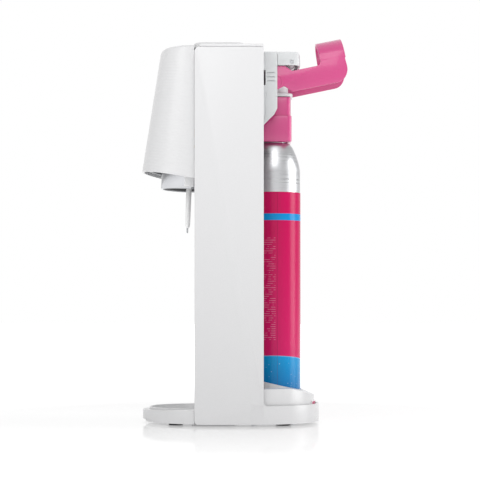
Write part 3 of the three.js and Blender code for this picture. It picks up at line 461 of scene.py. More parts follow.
build_front_base()

# ---- Drip tray ------------------------------------------------------------------------------
# Round white ABS tray with a raised lip and five low ribs that keep the bottle out of the spill.
# It lies loose in the front base's dish and lifts out to be rinsed.


def build_drip_tray():
    low, high = box_mm("drip_tray")
    r = high.x
    tray = spun([(0, low.z), (r - 1.5, low.z), (r, low.z + 1.5), (r, high.z - 0.6), (r - 0.5, high.z),
                 (r - 1.6, high.z), (r - 2, high.z - 0.5), (r - 3.5, low.z + 3), (r - 4.6, low.z + 2),
                 (0, low.z + 2)], bottle_y)
    for x in (-24, -12, 0, 12, 24):
        reach = math.sqrt(32 ** 2 - x ** 2)
        rib = prism(rounded([(x - 1, bottle_y - reach, 0.9), (x + 1, bottle_y - reach, 0.9),
                             (x + 1, bottle_y + reach, 0.9), (x - 1, bottle_y + reach, 0.9)], 4),
                    low.z + 1, low.z + 3.6, "Z", 0.3)
        fuse(tray, rib)
    smooth(tray)
    deliver(tray, "drip_tray_dish", "tray", "white_plastic", white_abs, "drip_tray")


build_drip_tray()

# ---- Feet and base plate --------------------------------------------------------------------
# Four black rubber pads with a stem pressed through the flat white base plate, which closes the
# base from below and holds everything together with four screws.


def black_rubber():
    # Nitrile rubber: dark, dull and faintly dusty.
    material, tree = empty_material("black_nitrile_rubber")
    place = put(tree, "ShaderNodeTexCoord")
    dust = put(tree, "ShaderNodeTexNoise",
               {"Vector": place.outputs["Object"], "Scale": 1 / (1.5 * mm), "Detail": 4.0})
    shade = put(tree, "ShaderNodeMapRange",
                {"Value": dust.outputs["Fac"], "To Min": 0.62, "To Max": 0.8})
    surface = put(tree, "ShaderNodeBsdfPrincipled",
                  {"Base Color": linear("#1D1D1F"), "Roughness": shade.outputs[0]})
    give_surface(tree, surface)
    return material


rubber = black_rubber()


def build_feet():
    for number in range(1, 5):
        node = f"foot_{number}"
        low, high = box_mm(node)
        x, y = (low.x + high.x) / 2, (low.y + high.y) / 2
        foot = spun([(0, 0), (7.2, 0), (7.8, 0.3), (8, 0.8), (8, 1.6), (7.7, 1.9), (2.2, 1.9),
                     (2.2, high.z), (0, high.z)], y, x, 48)
        smooth(foot)
        deliver(foot, f"rubber_foot_{number}", "machine", "rubber", rubber, node)


build_feet()
bpy.data.objects["base_plate"].data.materials.clear()
bpy.data.objects["base_plate"].data.materials.append(white_abs)

# ---- Head cover -----------------------------------------------------------------------------
# White hood over the nozzle: one glossy ABS moulding that leans out towards its slanted lower
# edge and is wrapped in fine horizontal grooves. It hooks on to the front of the housing.

head_low, head_high = box_mm("head_cover")
head_rear = base_y - 41
head_half = head_high.x
head_slope = 0.1596
roof_top = head_high.z
edge_rear = head_low.z
edge_front = edge_rear + 10.9
button_low, button_high = box_mm("carbonation_button")


def head_reach(z):
    return 38.9 + (roof_top - z) * head_slope


def head_form(inset, low, high, ridge=0.0):
    """The hood's leaning oval body. A ridge cuts a shallow groove into it every few millimetres."""
    plan = oval(head_half - inset, 1, 0, 2.3, 180, 360, 96)
    pitch = 3.25
    crown = 3.0  # radius of the roof's edge
    fall = 0.158  # the grooves drop towards the rear
    layers = [(low, 0.0)]
    if ridge:
        z = low + pitch
        while z < high + 12:
            layers += [(z - 0.8, 0.0), (z - 0.5, ridge), (z - 0.3, ridge), (z, 0.0)]
            z += pitch
    else:
        layers.append((high, 0.0))
    start = head_reach(low) - inset
    form = disc([(x, head_rear + y * start) for x, y in plan], lambda u, v: (u, v, low))

    def grow():
        for (below, _), (above, _) in zip(layers, layers[1:]):
            rise = (above - below) * mm
            bpy.ops.mesh.extrude_region_move(TRANSFORM_OT_translate={"value": (0, 0, rise)})

    edit(form, grow)
    for vertex in form.data.vertices:
        z, dent = min(layers, key=lambda layer: abs(layer[0] * mm - vertex.co.z))
        along = (vertex.co.y / mm - head_rear) / start
        if ridge:
            z -= (1 + along) * fall * head_reach(z)
        if ridge and z > high - crown:
            turn = min(1.0, (z - high + crown) / crown)
            dent = crown * (1 - math.sqrt(1 - turn * turn)) if turn < 1 else crown + 0.5 * (z - high)
        narrow = 1 - dent / head_half
        y = head_rear + along * (head_reach(z) - inset - dent)
        vertex.co = Vector((vertex.co.x / mm * narrow, y, z)) * mm
    edit(form, outward)
    return form


def above_edge(lift):
    """Everything above the hood's slanted lower edge, raised by lift."""
    slope = (edge_front - edge_rear) / head_reach(edge_front)
    reach = head_reach(edge_front)
    return prism([(head_rear + 20, edge_rear - 20 * slope + lift), (head_rear + 20, roof_top + 50),
                  (head_rear - reach - 30, roof_top + 50),
                  (head_rear - reach - 30, edge_front + lift + 30 * slope)], -99, 99, "X")


def button_plan(grow, steps=12):
    x = button_high.x + grow
    low, high = button_low.y - grow, button_high.y + grow
    return rounded([(-x, low, 12), (x, low, 12), (x, high, 12), (-x, high, 12)], steps)


def build_head_cover():
    hood = head_form(0, 240, roof_top, 0.05)
    common(hood, above_edge(0), block((-99, 99), (head_rear - 99, head_rear + 1), (200, roof_top)))
    cut(hood, head_form(housing_wall, 230, roof_top - housing_wall))
    rim = half_width - 13
    fuse(hood, block((-rim, rim), (head_rear - 1, base_y - 34.5), (roof_top - housing_wall, roof_top)))
    cut(hood, prism(button_plan(0.4), panel_top - 9, roof_top + 9))
    smooth(hood, 50)
    deliver(hood, "head_hood", "machine", "white_plastic", white_abs, "head_cover")


build_head_cover()

# ---- Head bottom plate ----------------------------------------------------------------------
# Grey plate that closes the hood from below round the bottle collar. Matt ABS, pushed up
# into the hood and held by friction ribs.

# Matt black ABS with a fine spark-eroded grain.
dark_abs = moulded_plastic("dark_matt_abs", "#2C2C2F", 0.5, 0.5, 0.4)


# Mid grey ABS with the same grain.
underside_abs = moulded_plastic("grey_underside_abs", "#8C8E90", 0.45, 0.5, 0.3)


def build_head_bottom():
    plate = head_form(housing_wall + 0.6, 235, edge_front + 20)
    common(plate, above_edge(3))
    cut(plate, above_edge(5.5), rod((0, bottle_y), 41, 200, 420, sides=96))
    smooth(plate)
    deliver(plate, "head_bottom_panel", "machine", "dark_plastic", underside_abs, "head_bottom_plate")


build_head_bottom()

# ---- Top cover ------------------------------------------------------------------------------
# Flat white ABS lid over the frame with the rear half of the button's opening. A lip along its
# rear edge snaps between the side panels.


def build_top_cover():
    low, high = box_mm("top_cover")
    lid = prism([(low.x, low.y), (high.x, low.y), (high.x, high.y), (low.x, high.y)],
                panel_top + 0.3, roof_top, "Z", 0.8)
    inside = half_width - housing_wall - 0.3
    lip = block((-inside, inside), (panel_rear - 12, panel_rear - 1), (panel_top - 3, panel_top + 1))
    cut(lip, block((-inside + 2, inside - 2), (panel_rear - 20, panel_rear), (panel_top - 4, panel_top + 0.3)))
    fuse(lid, lip)
    cut(lid, prism(button_plan(0.4), panel_top - 9, roof_top + 9))
    smooth(lid)
    deliver(lid, "top_lid", "machine", "white_plastic", white_abs, "top_cover")


build_top_cover()

# ---- Carbonation button ---------------------------------------------------------------------
# Large white button that is pushed down to let gas in: a hollow ABS cap with softly domed edges,
# a flat stem underneath that bears on the rocker, and a ring that keeps its spring in place.


def build_button():
    low = panel_top - 3
    high = button_high.z
    cap = prism(button_plan(0), low, high)
    soften(cap, 3.2, 6, 50)
    cut(cap, prism(button_plan(-3.4), low - 1, high - 2.2))
    stem_y = base_y - 14
    spring_y = base_y - 31
    keeper = rod((0, spring_y), 6.6, high - 7, high - 1.5)
    cut(keeper, rod((0, spring_y), 5.6, high - 8, high - 1))
    middle = (button_low.y + button_high.y) / 2
    fuse(
        cap,
        block((-5, 5), (stem_y - 2, stem_y + 2), (button_low.z, high - 1.5)),
        keeper,
        block((-12, 12), (middle + 8, middle + 10), (low + 3, high - 1.5)),
    )
    smooth(cap)
    deliver(cap, "push_button", "button", "white_plastic", white_abs, "carbonation_button")


build_button()

# ---- Inner frame ----------------------------------------------------------------------------
# Light grey frame behind the missing rear cover: two cheeks with vent slots carry the lever's
# axles, and a deck between them carries the button's spring. Matt ABS, screwed to the housing.

# Grey ABS with an even spark-eroded grain.
grey_abs = moulded_plastic("grey_matt_abs", "#CFD1D2", 0.42, 0.5, 0.3)

guard_top = box_mm("valve_guard")[1].z
axle_low, axle_high = box_mm("lever_axle_right")
pivot_y = (axle_low.y + axle_high.y) / 2
pivot_z = (axle_low.z + axle_high.z) / 2
cylinder_y = base_y + 47
cheek_inner = 30.2
cheek_outer = 33.2
deck_top = guard_top + 23.5
deck_bottom = deck_top - 3
cap_top = guard_top + 48.5
frame_rear = base_y + 50.1


def build_inner_frame():
    front = base_y - 36
    profile = rounded([
        (front, deck_bottom),
        (base_y - 8, deck_bottom),
        (base_y - 8, guard_top - 33),
        (panel_rear + 0.2, guard_top - 33),
        (base_y + 46.5, guard_top - 21.2, 4),
        (frame_rear, guard_top - 14.5, 6),
        (frame_rear, cap_top, 1),
        (panel_rear + 1, cap_top),
        (panel_rear + 1, panel_top - 0.5),
        (front, panel_top - 0.5),
    ], 6)
    body = prism(profile, cheek_inner, cheek_outer, "X", 0.7)
    other = prism(profile, -cheek_outer, -cheek_inner, "X", 0.7)
    side = half_width - housing_wall - 0.3
    wing_front = base_y + 26
    fuse(
        body,
        other,
        block((-cheek_outer + 1, cheek_outer - 1), (front + 0.5, base_y + 26), (deck_bottom + 0.1, deck_top)),
        block((-cheek_outer + 1, cheek_outer - 1), (base_y + 18, frame_rear - 1), (panel_top - 3, panel_top - 0.6)),
        block((cheek_outer - 1, side), (wing_front, wing_front + 2.5), (guard_top - 24, panel_top - 4)),
        block((-side, -cheek_outer + 1), (wing_front, wing_front + 2.5), (guard_top - 24, panel_top - 4)),
        rod((0, base_y - 31), 3.5, deck_top - 1, deck_top + 6, soft=0.4),
    )
    for rise in (16, 20.5, 25):
        z = guard_top + rise
        slot = rounded([(base_y + 38.9, z - 0.7, 0.6), (base_y + 47.3, z - 0.7, 0.6),
                        (base_y + 47.3, z + 0.7, 0.6), (base_y + 38.9, z + 0.7, 0.6)], 4)
        cut(body, prism(slot, cheek_outer - 1.2, 99, "X"), prism(slot, -99, -cheek_outer + 1.2, "X"))
    for span in ((cheek_inner - 1, 99), (-99, -cheek_inner + 1)):
        cut(body, block(span, (panel_rear + 0.2, base_y + 37.1), (guard_top + 11.3, guard_top + 28.1)))
    rib = [(36.1, 367.9), (38.3, 367.2), (39.3, 364.9), (38, 361.4), (37.9, 345.4), (35.5, 336.3)]
    for (y0, z0), (y1, z1) in zip(rib, rib[1:]):
        across = Vector((z0 - z1, y1 - y0)).normalized() * 0.45
        strip = [(base_y + y0 + across.x, z0 + across.y), (base_y + y0 - across.x, z0 - across.y),
                 (base_y + y1 - across.x, z1 - across.y), (base_y + y1 + across.x, z1 + across.y)]
        for sign in (-1, 1):
            span = sorted((sign * (cheek_outer - 0.5), sign * (cheek_outer + 0.45)))
            fuse(body, prism(strip, span[0], span[1], "X"))
    post_side = half_width - housing_wall - 7
    for z in (guard_top - 14, guard_top + 36):
        for sign in (-1, 1):
            cut(body, rod((sign * post_side, z), 1.9, wing_front - 1, wing_front + 5, "Y", 24))
    for x in (-9, 9):
        cut(body, rod((x, base_y + 18), 1.9, deck_bottom - 1, deck_top + 1, sides=24))
    smooth(body)
    deliver(body, "frame_cheeks", "machine", "grey_plastic", grey_abs, "inner_frame")


build_inner_frame()

# ---- Rear cap -------------------------------------------------------------------------------
# Grey ABS cap behind the frame that shields the rocker's pivot; the steel pin through its sides
# is the rocker's axle. Rounded at the rear and along the top.


def build_rear_cap():
    low, high = box_mm("rear_cap")

    def form(inset, bottom):
        side = high.x - inset
        rear = high.y - inset
        plan = rounded([(-side, low.y), (side, low.y), (side, rear, 8 - inset), (-side, rear, 8 - inset)], 14)
        top = high.z - inset
        profile = rounded([(low.y - 5, bottom - 5), (rear, bottom - 5), (rear, top, 5.5 - inset),
                           (low.y - 5, top)], 14)
        return common(prism(plan, bottom, high.z), prism(profile, -99, 99, "X"))

    cap = form(0, low.z)
    cut(cap, form(2.2, low.z - 1))
    pin_low, pin_high = box_mm("actuator_pin")
    centre = ((pin_low.y + pin_high.y) / 2, (pin_low.z + pin_high.z) / 2)
    cut(cap, rod(centre, 2.1, -99, 99, "X", 32))
    soften(cap, 0.5, 2, 50)
    deliver(cap, "rear_cap_shell", "machine", "grey_plastic", grey_abs, "rear_cap")


build_rear_cap()

# ---- Receiver -------------------------------------------------------------------------------
# Grey block that hangs from the frame's deck over the gas cylinder. Its flat flange, rounded at
# the rear, meets the valve guard, and the plunger that seals on the valve slides inside it.


def build_receiver():
    low, high = box_mm("receiver")
    bottom = guard_top + 0.5
    step = bottom + 3.6
    deep = 20.6
    flange = prism(rounded([(-21, cylinder_y - deep, 5), (21, cylinder_y - deep, 5),
                            (21, cylinder_y + deep, 9), (-21, cylinder_y + deep, 9)], 10),
                   bottom, step, "Z", 0.6)
    top = high.z
    fuse(flange, rod((0, cylinder_y), 16, step - 1, top, sides=96))
    for sign in (-1, 1):
        span = sorted((sign * 13.6, sign * 25.8))
        fuse(flange, rod((pivot_y, pivot_z), 7, span[0], span[1], "X", 64, 0.4))
    fuse(flange, block((-13, 13), (base_y + 12, base_y + 34), (deck_bottom - 6.3, deck_bottom - 0.3)))
    fuse(flange, rod((0, guard_top + 9.5), 1.1, base_y + 18, base_y + 34, "Y", 24))
    cut(flange, rod((0, cylinder_y), 11.3, bottom - 1, top - 6, sides=64))
    cut(flange, rod((0, cylinder_y), 1.9, bottom, top + 1, sides=32))
    for sign in (-1, 1):
        span = sorted((sign * 14.3, sign * 27))
        cut(flange, rod((pivot_y, pivot_z), 4.5, span[0], span[1], "X", 48))
    for x in (-9, 9):
        cut(flange, rod((x, base_y + 18), 1.9, deck_bottom - 9, deck_top, sides=24))
    smooth(flange)
    deliver(flange, "receiver_block", "machine", "grey_plastic", grey_abs, "receiver")


build_receiver()

# ---- Quick-connect lever --------------------------------------------------------------------
# Pink lever that presses the receiver's plunger on to the cylinder valve: two flat arms joined
# by an arched handle, moulded in one piece of glossy ABS and hung on two steel axles.

# Pink ABS with a gloss skin.
pink_abs = moulded_plastic("pink_gloss_abs", "#C8407F", 0.27, 0.4, 0.15, 0.4)

lever_tilt = Matrix.Translation(Vector((0, pivot_y, pivot_z)) * mm) @ Matrix.Rotation(math.radians(11.3), 4, "X")


def build_lever():
    outer = 28.5
    inner = outer - 2.2
    arm = rounded([
        (-6.6, 5), (-2, 14.5, 5), (4.6, 17.3, 1), (13, 15.6, 2), (19.6, 8.6, 3), (49.5, 8.8, 3), (54, 13.5),
        (80, 13.5), (81, -2.8, 16), (73.8, -13.6, 13), (15.3, -14, 3), (7.9, -6.1, 3), (-0.3, -8.5, 3),
        (-7.4, -5, 4),
    ], 8)
    spring = 12
    crown = 36.5
    lever = prism(oval(outer, crown - spring, spring, 2, 0, 180, 64), 52.5, 81, "Y", 0.6)
    fuse(lever, prism(arm, inner, outer, "X", 0.6), prism(arm, -outer, -inner, "X", 0.6))
    cut(lever, prism(oval(inner, crown - spring - 2.2, spring, 2, 0, 180, 64), 50, 84, "Y"))
    cut(lever, block((-inner, inner), (50, 84), (-40, spring + 0.01)))
    for sign in (-1, 1):
        span = sorted((sign * inner, sign * (outer + 1.3)))
        fuse(lever, rod((0, 0), 7.6, span[0], span[1], "X", 64, 0.3))
        groove = rod((0, 0), 6.1, *sorted((sign * (outer + 0.9), sign * 40)), axis="X")
        cut(lever, cut(groove, rod((0, 0), 5.5, -50, 50, "X")))
    cut(lever, rod((0, 0), 4.5, 0.4 - outer, outer + 0.4 - 0.8, "X", 48))
    lever.data.transform(lever_tilt)
    soften(lever, 0.35, 2, 50)
    deliver(lever, "lever_handle", "lever", "pink_plastic", pink_abs, "quick_connect_lever")


build_lever()

# ---- Lever axles, screws and other steel ----------------------------------------------------
# Two steel dowels between the receiver's sides and the lever's hubs, the rocker's pin, the push
# pin, the collar's pivot pins, the spring and all screws. Zinc-plated or plain turned steel.


def metal(name, code, roughness, ring, relief):
    """Machined metal with fine turning rings of the given spacing."""
    material, tree = empty_material(name)
    place = put(tree, "ShaderNodeTexCoord")
    lines = put(tree, "ShaderNodeMapping", {"Vector": place.outputs["Object"], "Scale": (2.0, 2.0, 1 / ring / mm)})
    tool = put(tree, "ShaderNodeTexNoise", {"Vector": lines.outputs[0], "Scale": 1.0, "Detail": 4.0})
    shine = put(tree, "ShaderNodeMapRange", {"Value": tool.outputs["Fac"], "From Min": 0.3, "From Max": 0.7,
                "To Min": roughness - 0.05, "To Max": roughness + 0.08})
    bump = put(tree, "ShaderNodeBump", {"Height": tool.outputs["Fac"], "Strength": relief, "Distance": 0.01 * mm})
    surface = put(tree, "ShaderNodeBsdfPrincipled", {"Base Color": linear(code), "Metallic": 1.0,
                  "Roughness": shine.outputs[0], "Normal": bump.outputs[0]})
    give_surface(tree, surface)
    return material


# Zinc-plated carbon steel.
zinc_steel = metal("zinc_plated_steel", "#C3C5C8", 0.3, 0.15, 0.3)
# Free-cutting brass.
brass = metal("turned_brass", "#C9A75C", 0.28, 0.15, 0.3)


def build_axles():
    for side, sign in (("left", -1), ("right", 1)):
        low, high = box_mm(f"lever_axle_{side}")
        dowel = rod((pivot_y, pivot_z), 4.2, low.x, high.x, "X", 64, 0.5)
        deliver(dowel, f"axle_{side}", "machine", "steel", zinc_steel, f"lever_axle_{side}")


build_axles()

# ---- Gas cylinder ---------------------------------------------------------------------------
# Standard refillable carbon dioxide cylinder, 60 mm across: a drawn aluminium shell with its
# shoulder spun to a neck, lightly brushed round and round.


def brushed_aluminium():
    # Drawn aluminium, brushed while turning, so that the scratches run round it.
    material, tree = empty_material("brushed_aluminium")
    place = put(tree, "ShaderNodeTexCoord")
    around = put(tree, "ShaderNodeMapping", {"Vector": place.outputs["Object"], "Scale": (12.0, 12.0, 4500.0)})
    lines = put(tree, "ShaderNodeTexNoise", {"Vector": around.outputs[0], "Scale": 1.0, "Detail": 5.0})
    wide = put(tree, "ShaderNodeMapping", {"Vector": place.outputs["Object"], "Scale": (5.0, 5.0, 500.0)})
    bands = put(tree, "ShaderNodeTexNoise", {"Vector": wide.outputs[0], "Scale": 1.0, "Detail": 3.0})
    both = put(tree, "ShaderNodeMath", {0: lines.outputs["Fac"], 1: bands.outputs["Fac"]}, operation="ADD")
    shine = put(tree, "ShaderNodeMapRange", {"Value": both.outputs[0], "From Min": 0.7, "From Max": 1.3,
                "To Min": 0.24, "To Max": 0.42})
    bump = put(tree, "ShaderNodeBump", {"Height": lines.outputs["Fac"], "Strength": 0.35, "Distance": 0.015 * mm})
    surface = put(tree, "ShaderNodeBsdfPrincipled", {"Base Color": linear("#D5D6D8"), "Metallic": 1.0,
                  "Roughness": shine.outputs[0], "Normal": bump.outputs[0], "Anisotropic": 0.5})
    give_surface(tree, surface)
    return material


body_low, body_high = box_mm("cylinder_body")
metal_radius = 29.5
cylinder_top = body_high.z


def build_cylinder():
    low = body_low.z
    top = cylinder_top
    k = metal_radius / 30
    foot = [(metal_radius - 5 + 5 * math.sin(math.radians(a)), low + 5 - 5 * math.cos(math.radians(a)))
            for a in range(0, 91, 15)]
    shoulder = [(29.9 * k, top - 33), (29.4 * k, top - 29.5), (28.6 * k, top - 25.5), (27.3 * k, top - 21.2),
                (25.6 * k, top - 16.2), (23.5 * k, top - 11.4), (21, top - 6.8), (18.2 * k, top - 2.9),
                (16.4, top - 2.1), (13.8, top - 2.1)]
    inside = [(9.3, top), (9.3, top - 9.6), (17 * k, top - 12.4), (24 * k, top - 24), (26.5, top - 37),
              (26.5, low + 8), (0, low + 6)]
    shell = spun([(0, low + 3), (18, low + 0.6), (20, low)] + foot + [(metal_radius, top - 35)] + shoulder
                 + [(13.8, top)] + inside, cylinder_y, 0, 160)
    smooth(shell)
    deliver(shell, "cylinder_shell", "machine", "aluminium", brushed_aluminium(), "cylinder_body")


build_cylinder()

# ---- Cylinder label -------------------------------------------------------------------------
# Wrap-around printed film on the gas cylinder: magenta, with a blue band near the top and a blue
# foot whose upper edge rises and falls like water. Its overlap runs down the rear.

label_low, label_high = box_mm("cylinder_label")


def printed_film():
    # Gloss film over gravure print. Bands by height, the water line by angle round the cylinder.
    material, tree = empty_material("printed_gloss_film")
    place = put(tree, "ShaderNodeTexCoord")
    parts = put(tree, "ShaderNodeSeparateXYZ", {"Vector": place.outputs["Object"]})
    height = parts.outputs["Z"]

    def maths(operation, a, b=0.0):
        return put(tree, "ShaderNodeMath", {0: a, 1: b}, operation=operation).outputs[0]

    def above(level):
        return maths("GREATER_THAN", height, level * mm)

    def mix(factor, first, second):
        node = put(tree, "ShaderNodeMix", {0: factor}, data_type="RGBA")
        for index, value in ((6, first), (7, second)):
            if isinstance(value, bpy.types.NodeSocket):
                tree.links.new(value, node.inputs[index])
            else:
                node.inputs[index].default_value = value
        return node.outputs[2]

    across_y = maths("SUBTRACT", parts.outputs["Y"], cylinder_y * mm)
    turn = maths("ARCTAN2", across_y, parts.outputs["X"])  # 0 faces the side, rising to the rear
    swell = maths("MULTIPLY", maths("COSINE", maths("ADD", turn, 0.1)), 4.4 * mm)
    water_line = maths("ADD", swell, 71.8 * mm)
    depth = maths("SUBTRACT", water_line, height)
    in_water = maths("GREATER_THAN", depth, 0.0)
    foam = maths("MULTIPLY", in_water, maths("LESS_THAN", depth, 0.9 * mm))
    bubbles = put(tree, "ShaderNodeTexVoronoi", {"Vector": place.outputs["Object"], "Scale": 1 / (5 * mm)})
    bubble = maths("MULTIPLY", in_water, maths("LESS_THAN", bubbles.outputs["Distance"], 0.13))
    shade = put(tree, "ShaderNodeMapRange", {"Value": depth, "From Max": 50 * mm})
    water = mix(shade.outputs[0], linear("#0C93CE"), linear("#0663A6"))
    water = mix(maths("MULTIPLY", bubble, 0.3), water, linear("#CFE6F2"))
    # Painted light: the magenta ink is a little lighter low on the cylinder and darker up towards the blue band.
    glow = put(tree, "ShaderNodeMapRange", {"Value": height, "From Min": 90 * mm, "From Max": 220 * mm})
    ink = mix(glow.outputs[0], linear("#C9145F"), linear("#C00C54"))
    row = maths("FRACT", maths("DIVIDE", height, 2.4 * mm))
    column = maths("MULTIPLY", maths("GREATER_THAN", turn, -0.9), maths("LESS_THAN", turn, 0.04))
    rows = maths("MULTIPLY", maths("MULTIPLY", above(92), maths("SUBTRACT", 1.0, above(208))),
                 maths("MULTIPLY", maths("LESS_THAN", row, 0.26), column))
    gaps = put(tree, "ShaderNodeTexNoise", {"Vector": place.outputs["Object"], "Scale": 1 / (5 * mm)})
    rows = maths("MULTIPLY", rows, maths("GREATER_THAN", gaps.outputs["Fac"], 0.47))
    ink = mix(maths("MULTIPLY", rows, 0.45), ink, linear("#E0A0BC"))
    ink = mix(in_water, ink, water)
    ink = mix(maths("MULTIPLY", foam, 0.35), ink, linear("#9CCBE6"))
    overlap = maths("LESS_THAN", maths("ABSOLUTE", maths("SUBTRACT", turn, 0.11)), 0.012)
    ink = mix(maths("MULTIPLY", overlap, 0.3), ink, linear("#5A0A32"))
    band = maths("MULTIPLY", above(226.5), maths("SUBTRACT", 1.0, above(234)))
    ink = mix(band, ink, linear("#0A8ACA"))
    surface = put(tree, "ShaderNodeBsdfPrincipled", {"Base Color": ink, "Roughness": 0.22, "IOR": 1.3})
    give_surface(tree, surface)
    return material


def build_label():
    film = spun([(29.75, label_low.z), (30, label_low.z), (30, label_high.z), (29.75, label_high.z)],
                cylinder_y, 0, 160)
    smooth(film)
    deliver(film, "label_film", "machine", "printed_label", printed_film(), "cylinder_label")


build_label()

# ---- Valve guard ----------------------------------------------------------------------------
# Pink plastic block round the cylinder's valve: a wide lower block and a slightly narrower upper
# one, with rounded corners and soft bevels. It is pushed over the neck and turns with it.


def build_guard():
    low, high = box_mm("valve_guard")
    split = low.z + 29

    def square(half_x, half_y, radius):
        return rounded([(-half_x, cylinder_y - half_y, radius), (half_x, cylinder_y - half_y, radius),
                        (half_x, cylinder_y + half_y, radius), (-half_x, cylinder_y + half_y, radius)], 10)

    guard = prism(square(22, 19.4, 5), low.z, split, "Z", 1.0)
    fuse(guard, prism(square(20, 18.4, 5), split - 3, high.z, "Z", 0.9))
    cut(
        guard,
        rod((0, cylinder_y), 12.7, low.z - 1, high.z + 1, sides=96),
        rod((0, cylinder_y), 14.1, low.z - 1, cylinder_top + 0.3, sides=96),
    )
    smooth(guard)
    deliver(guard, "valve_guard_block", "machine", "pink_plastic", pink_abs, "valve_guard")


build_guard()

# ---- Cylinder seat --------------------------------------------------------------------------
# White ABS insert in the rear of the base: a deck that falls away to the rear and a cup whose
# slanted rim steadies the cylinder's foot. Held by the four base screws.


def build_seat():
    low, high = box_mm("cylinder_seat")
    cup_inner = 31
    cup_outer = 34.2
    rear = high.y
    front = low.y

    def profile(drop):
        return rounded([
            (front - 1, floor_top - 3),
            (rear + 5, floor_top - 3),
            (rear + 5, 29.4 - drop),
            (rear - 26, 40.7 - drop, 30),
            (front - 1, 40.7 - drop),
        ], 16)

    def form(inset):
        whole = prism(skirt(4.6 + inset), floor_top - (2 if inset else 0), 90)
        common(whole, block((-99, 99), (front + inset, rear + 50), (0, 99)))
        return common(whole, prism(profile(inset), -99, 99, "X"))

    seat = cut(form(0), form(housing_wall))
    side = [(cylinder_y - cup_outer - 1, floor_top), (cylinder_y + cup_outer + 1, floor_top),
            (cylinder_y + cup_outer + 1, 36.4), (cylinder_y - cup_outer - 1, 52.5)]
    cup = common(rod((0, cylinder_y), cup_outer, floor_top, 90, sides=128), prism(side, -99, 99, "X"))
    cut(cup, rod((0, cylinder_y), cup_inner - 0.5, floor_top - 1, body_low.z - 3.3, sides=96))
    cut(seat, rod((0, cylinder_y), cup_inner + 1.5, floor_top - 1, 120, sides=112))
    fuse(seat, cup)
    cut(seat, rod((0, cylinder_y), cup_inner, body_low.z - 0.3, 120, sides=120))
    soften(seat, 0.4, 2, 50)
    deliver(seat, "cylinder_cup_seat", "machine", "white_plastic", white_abs, "cylinder_seat")


build_seat()

# ---- Bottle collar --------------------------------------------------------------------------
# Chromed ring that the bottle's neck is pushed into: drawn steel with a rolled lower lip. It
# hangs in the holder, which leans forward a little and tips towards the user.

chrome_low, chrome_high = box_mm("bottle_collar")
nozzle_y = bottle_y + 1.6
holder_pivot = Vector((0, nozzle_y + 11.4, 296))
collar_bottom = 260.6
collar_top = collar_bottom + 24
holder_lean = (Matrix.Translation(holder_pivot * mm) @ Matrix.Rotation(math.radians(-2.3), 4, "X")
               @ Matrix.Translation(-holder_pivot * mm))


def bright_chrome():
    # Chrome on polished steel, with the faint waviness of a drawn ring.
    material, tree = empty_material("bright_chrome_plate")
    place = put(tree, "ShaderNodeTexCoord")
    wave = put(tree, "ShaderNodeTexNoise",
               {"Vector": place.outputs["Object"], "Scale": 1 / (9 * mm), "Detail": 1.0})
    bump = put(tree, "ShaderNodeBump",
               {"Height": wave.outputs["Fac"], "Strength": 0.2, "Distance": 0.05 * mm})
    surface = put(tree, "ShaderNodeBsdfPrincipled", {"Base Color": linear("#BCBDC0"), "Metallic": 1.0,
                  "Roughness": 0.2, "Normal": bump.outputs[0]})
    give_surface(tree, surface)
    return material


chrome = bright_chrome()


def build_collar():
    r, low = 31.5, collar_bottom
    ring = spun([(r - 1.6, low + 0.8), (r - 1.3, low + 0.25), (r - 0.8, low), (r - 0.3, low + 0.25),
                 (r, low + 0.8), (r, collar_top - 0.3), (r - 0.3, collar_top), (r - 1.6, collar_top)],
                nozzle_y, 0, 160)
    ring.data.transform(holder_lean)
    smooth(ring)
    deliver(ring, "collar_ring", "bottle_holder", "chrome", chrome, "bottle_collar")


build_collar()

# ---- Collar insert --------------------------------------------------------------------------
# Dark funnel pressed into the chromed ring. Matt black ABS that guides the bottle's neck up
# against the seal.


def build_insert():
    outer = 31.5 - 1.9
    low = collar_bottom + 1
    top = collar_top
    funnel = spun([(outer - 1, low), (outer - 0.3, low + 0.3), (outer, low + 1), (outer, top), (8.4, top),
                   (8.4, top - 3), (17, top - 3), (17.2, low + 14), (18, low + 9), (20.5, low + 5.4),
                   (outer - 4, low + 2), (outer - 2.2, low + 0.6)], nozzle_y, 0, 128)
    funnel.data.transform(holder_lean)
    smooth(funnel)
    deliver(funnel, "collar_funnel", "bottle_holder", "dark_plastic", dark_abs, "collar_insert")


build_insert()

# ---- Collar yoke ----------------------------------------------------------------------------
# White gloss ABS fork that carries the collar between two side blocks and hangs on two steel
# pins, so that collar and nozzle tip forward together.

# ABS from the same polished mould as the casing, a little whiter.
bright_abs = moulded_plastic("bright_white_abs", "#F4F4F5", 0.24)


def build_yoke():
    inner = 31.5 + 0.7
    outer = 40.1
    top = collar_bottom + 31.5
    bottom = top - 3
    pivot = holder_pivot
    front = nozzle_y - 4.2
    yoke = block((-outer, outer), (nozzle_y - 12, pivot.y + 5), (bottom, top))
    for sign in (-1, 1):
        side = block(sorted((sign * inner, sign * outer)), (front, front + 10.8), (collar_bottom + 2, top - 1))
        soften(side, 1.0)
        ear = block(sorted((sign * (outer - 4), sign * outer)), (pivot.y - 5, pivot.y + 5),
                    (bottom + 1, pivot.z + 5))
        fuse(yoke, side, ear)
    cut(yoke, rod((0, nozzle_y), 8.3, bottom - 1, top + 1),
        rod((pivot.y, pivot.z), 2.3, -99, 99, "X", 32))
    yoke.data.transform(holder_lean)
    soften(yoke, 0.3, 2, 60)
    deliver(yoke, "collar_fork", "bottle_holder", "collar_side_plastic", bright_abs, "collar_yoke")


build_yoke()

# ---- Nozzle ---------------------------------------------------------------------------------
# Long carbonating nozzle: a light grey acetal tube that ends in a cone, with a thin steel jet
# pressed into its end. Gas leaves through the jet into the water.

# Light grey acetal, satin.
acetal = moulded_plastic("grey_acetal", "#F8F8F8", 0.34)


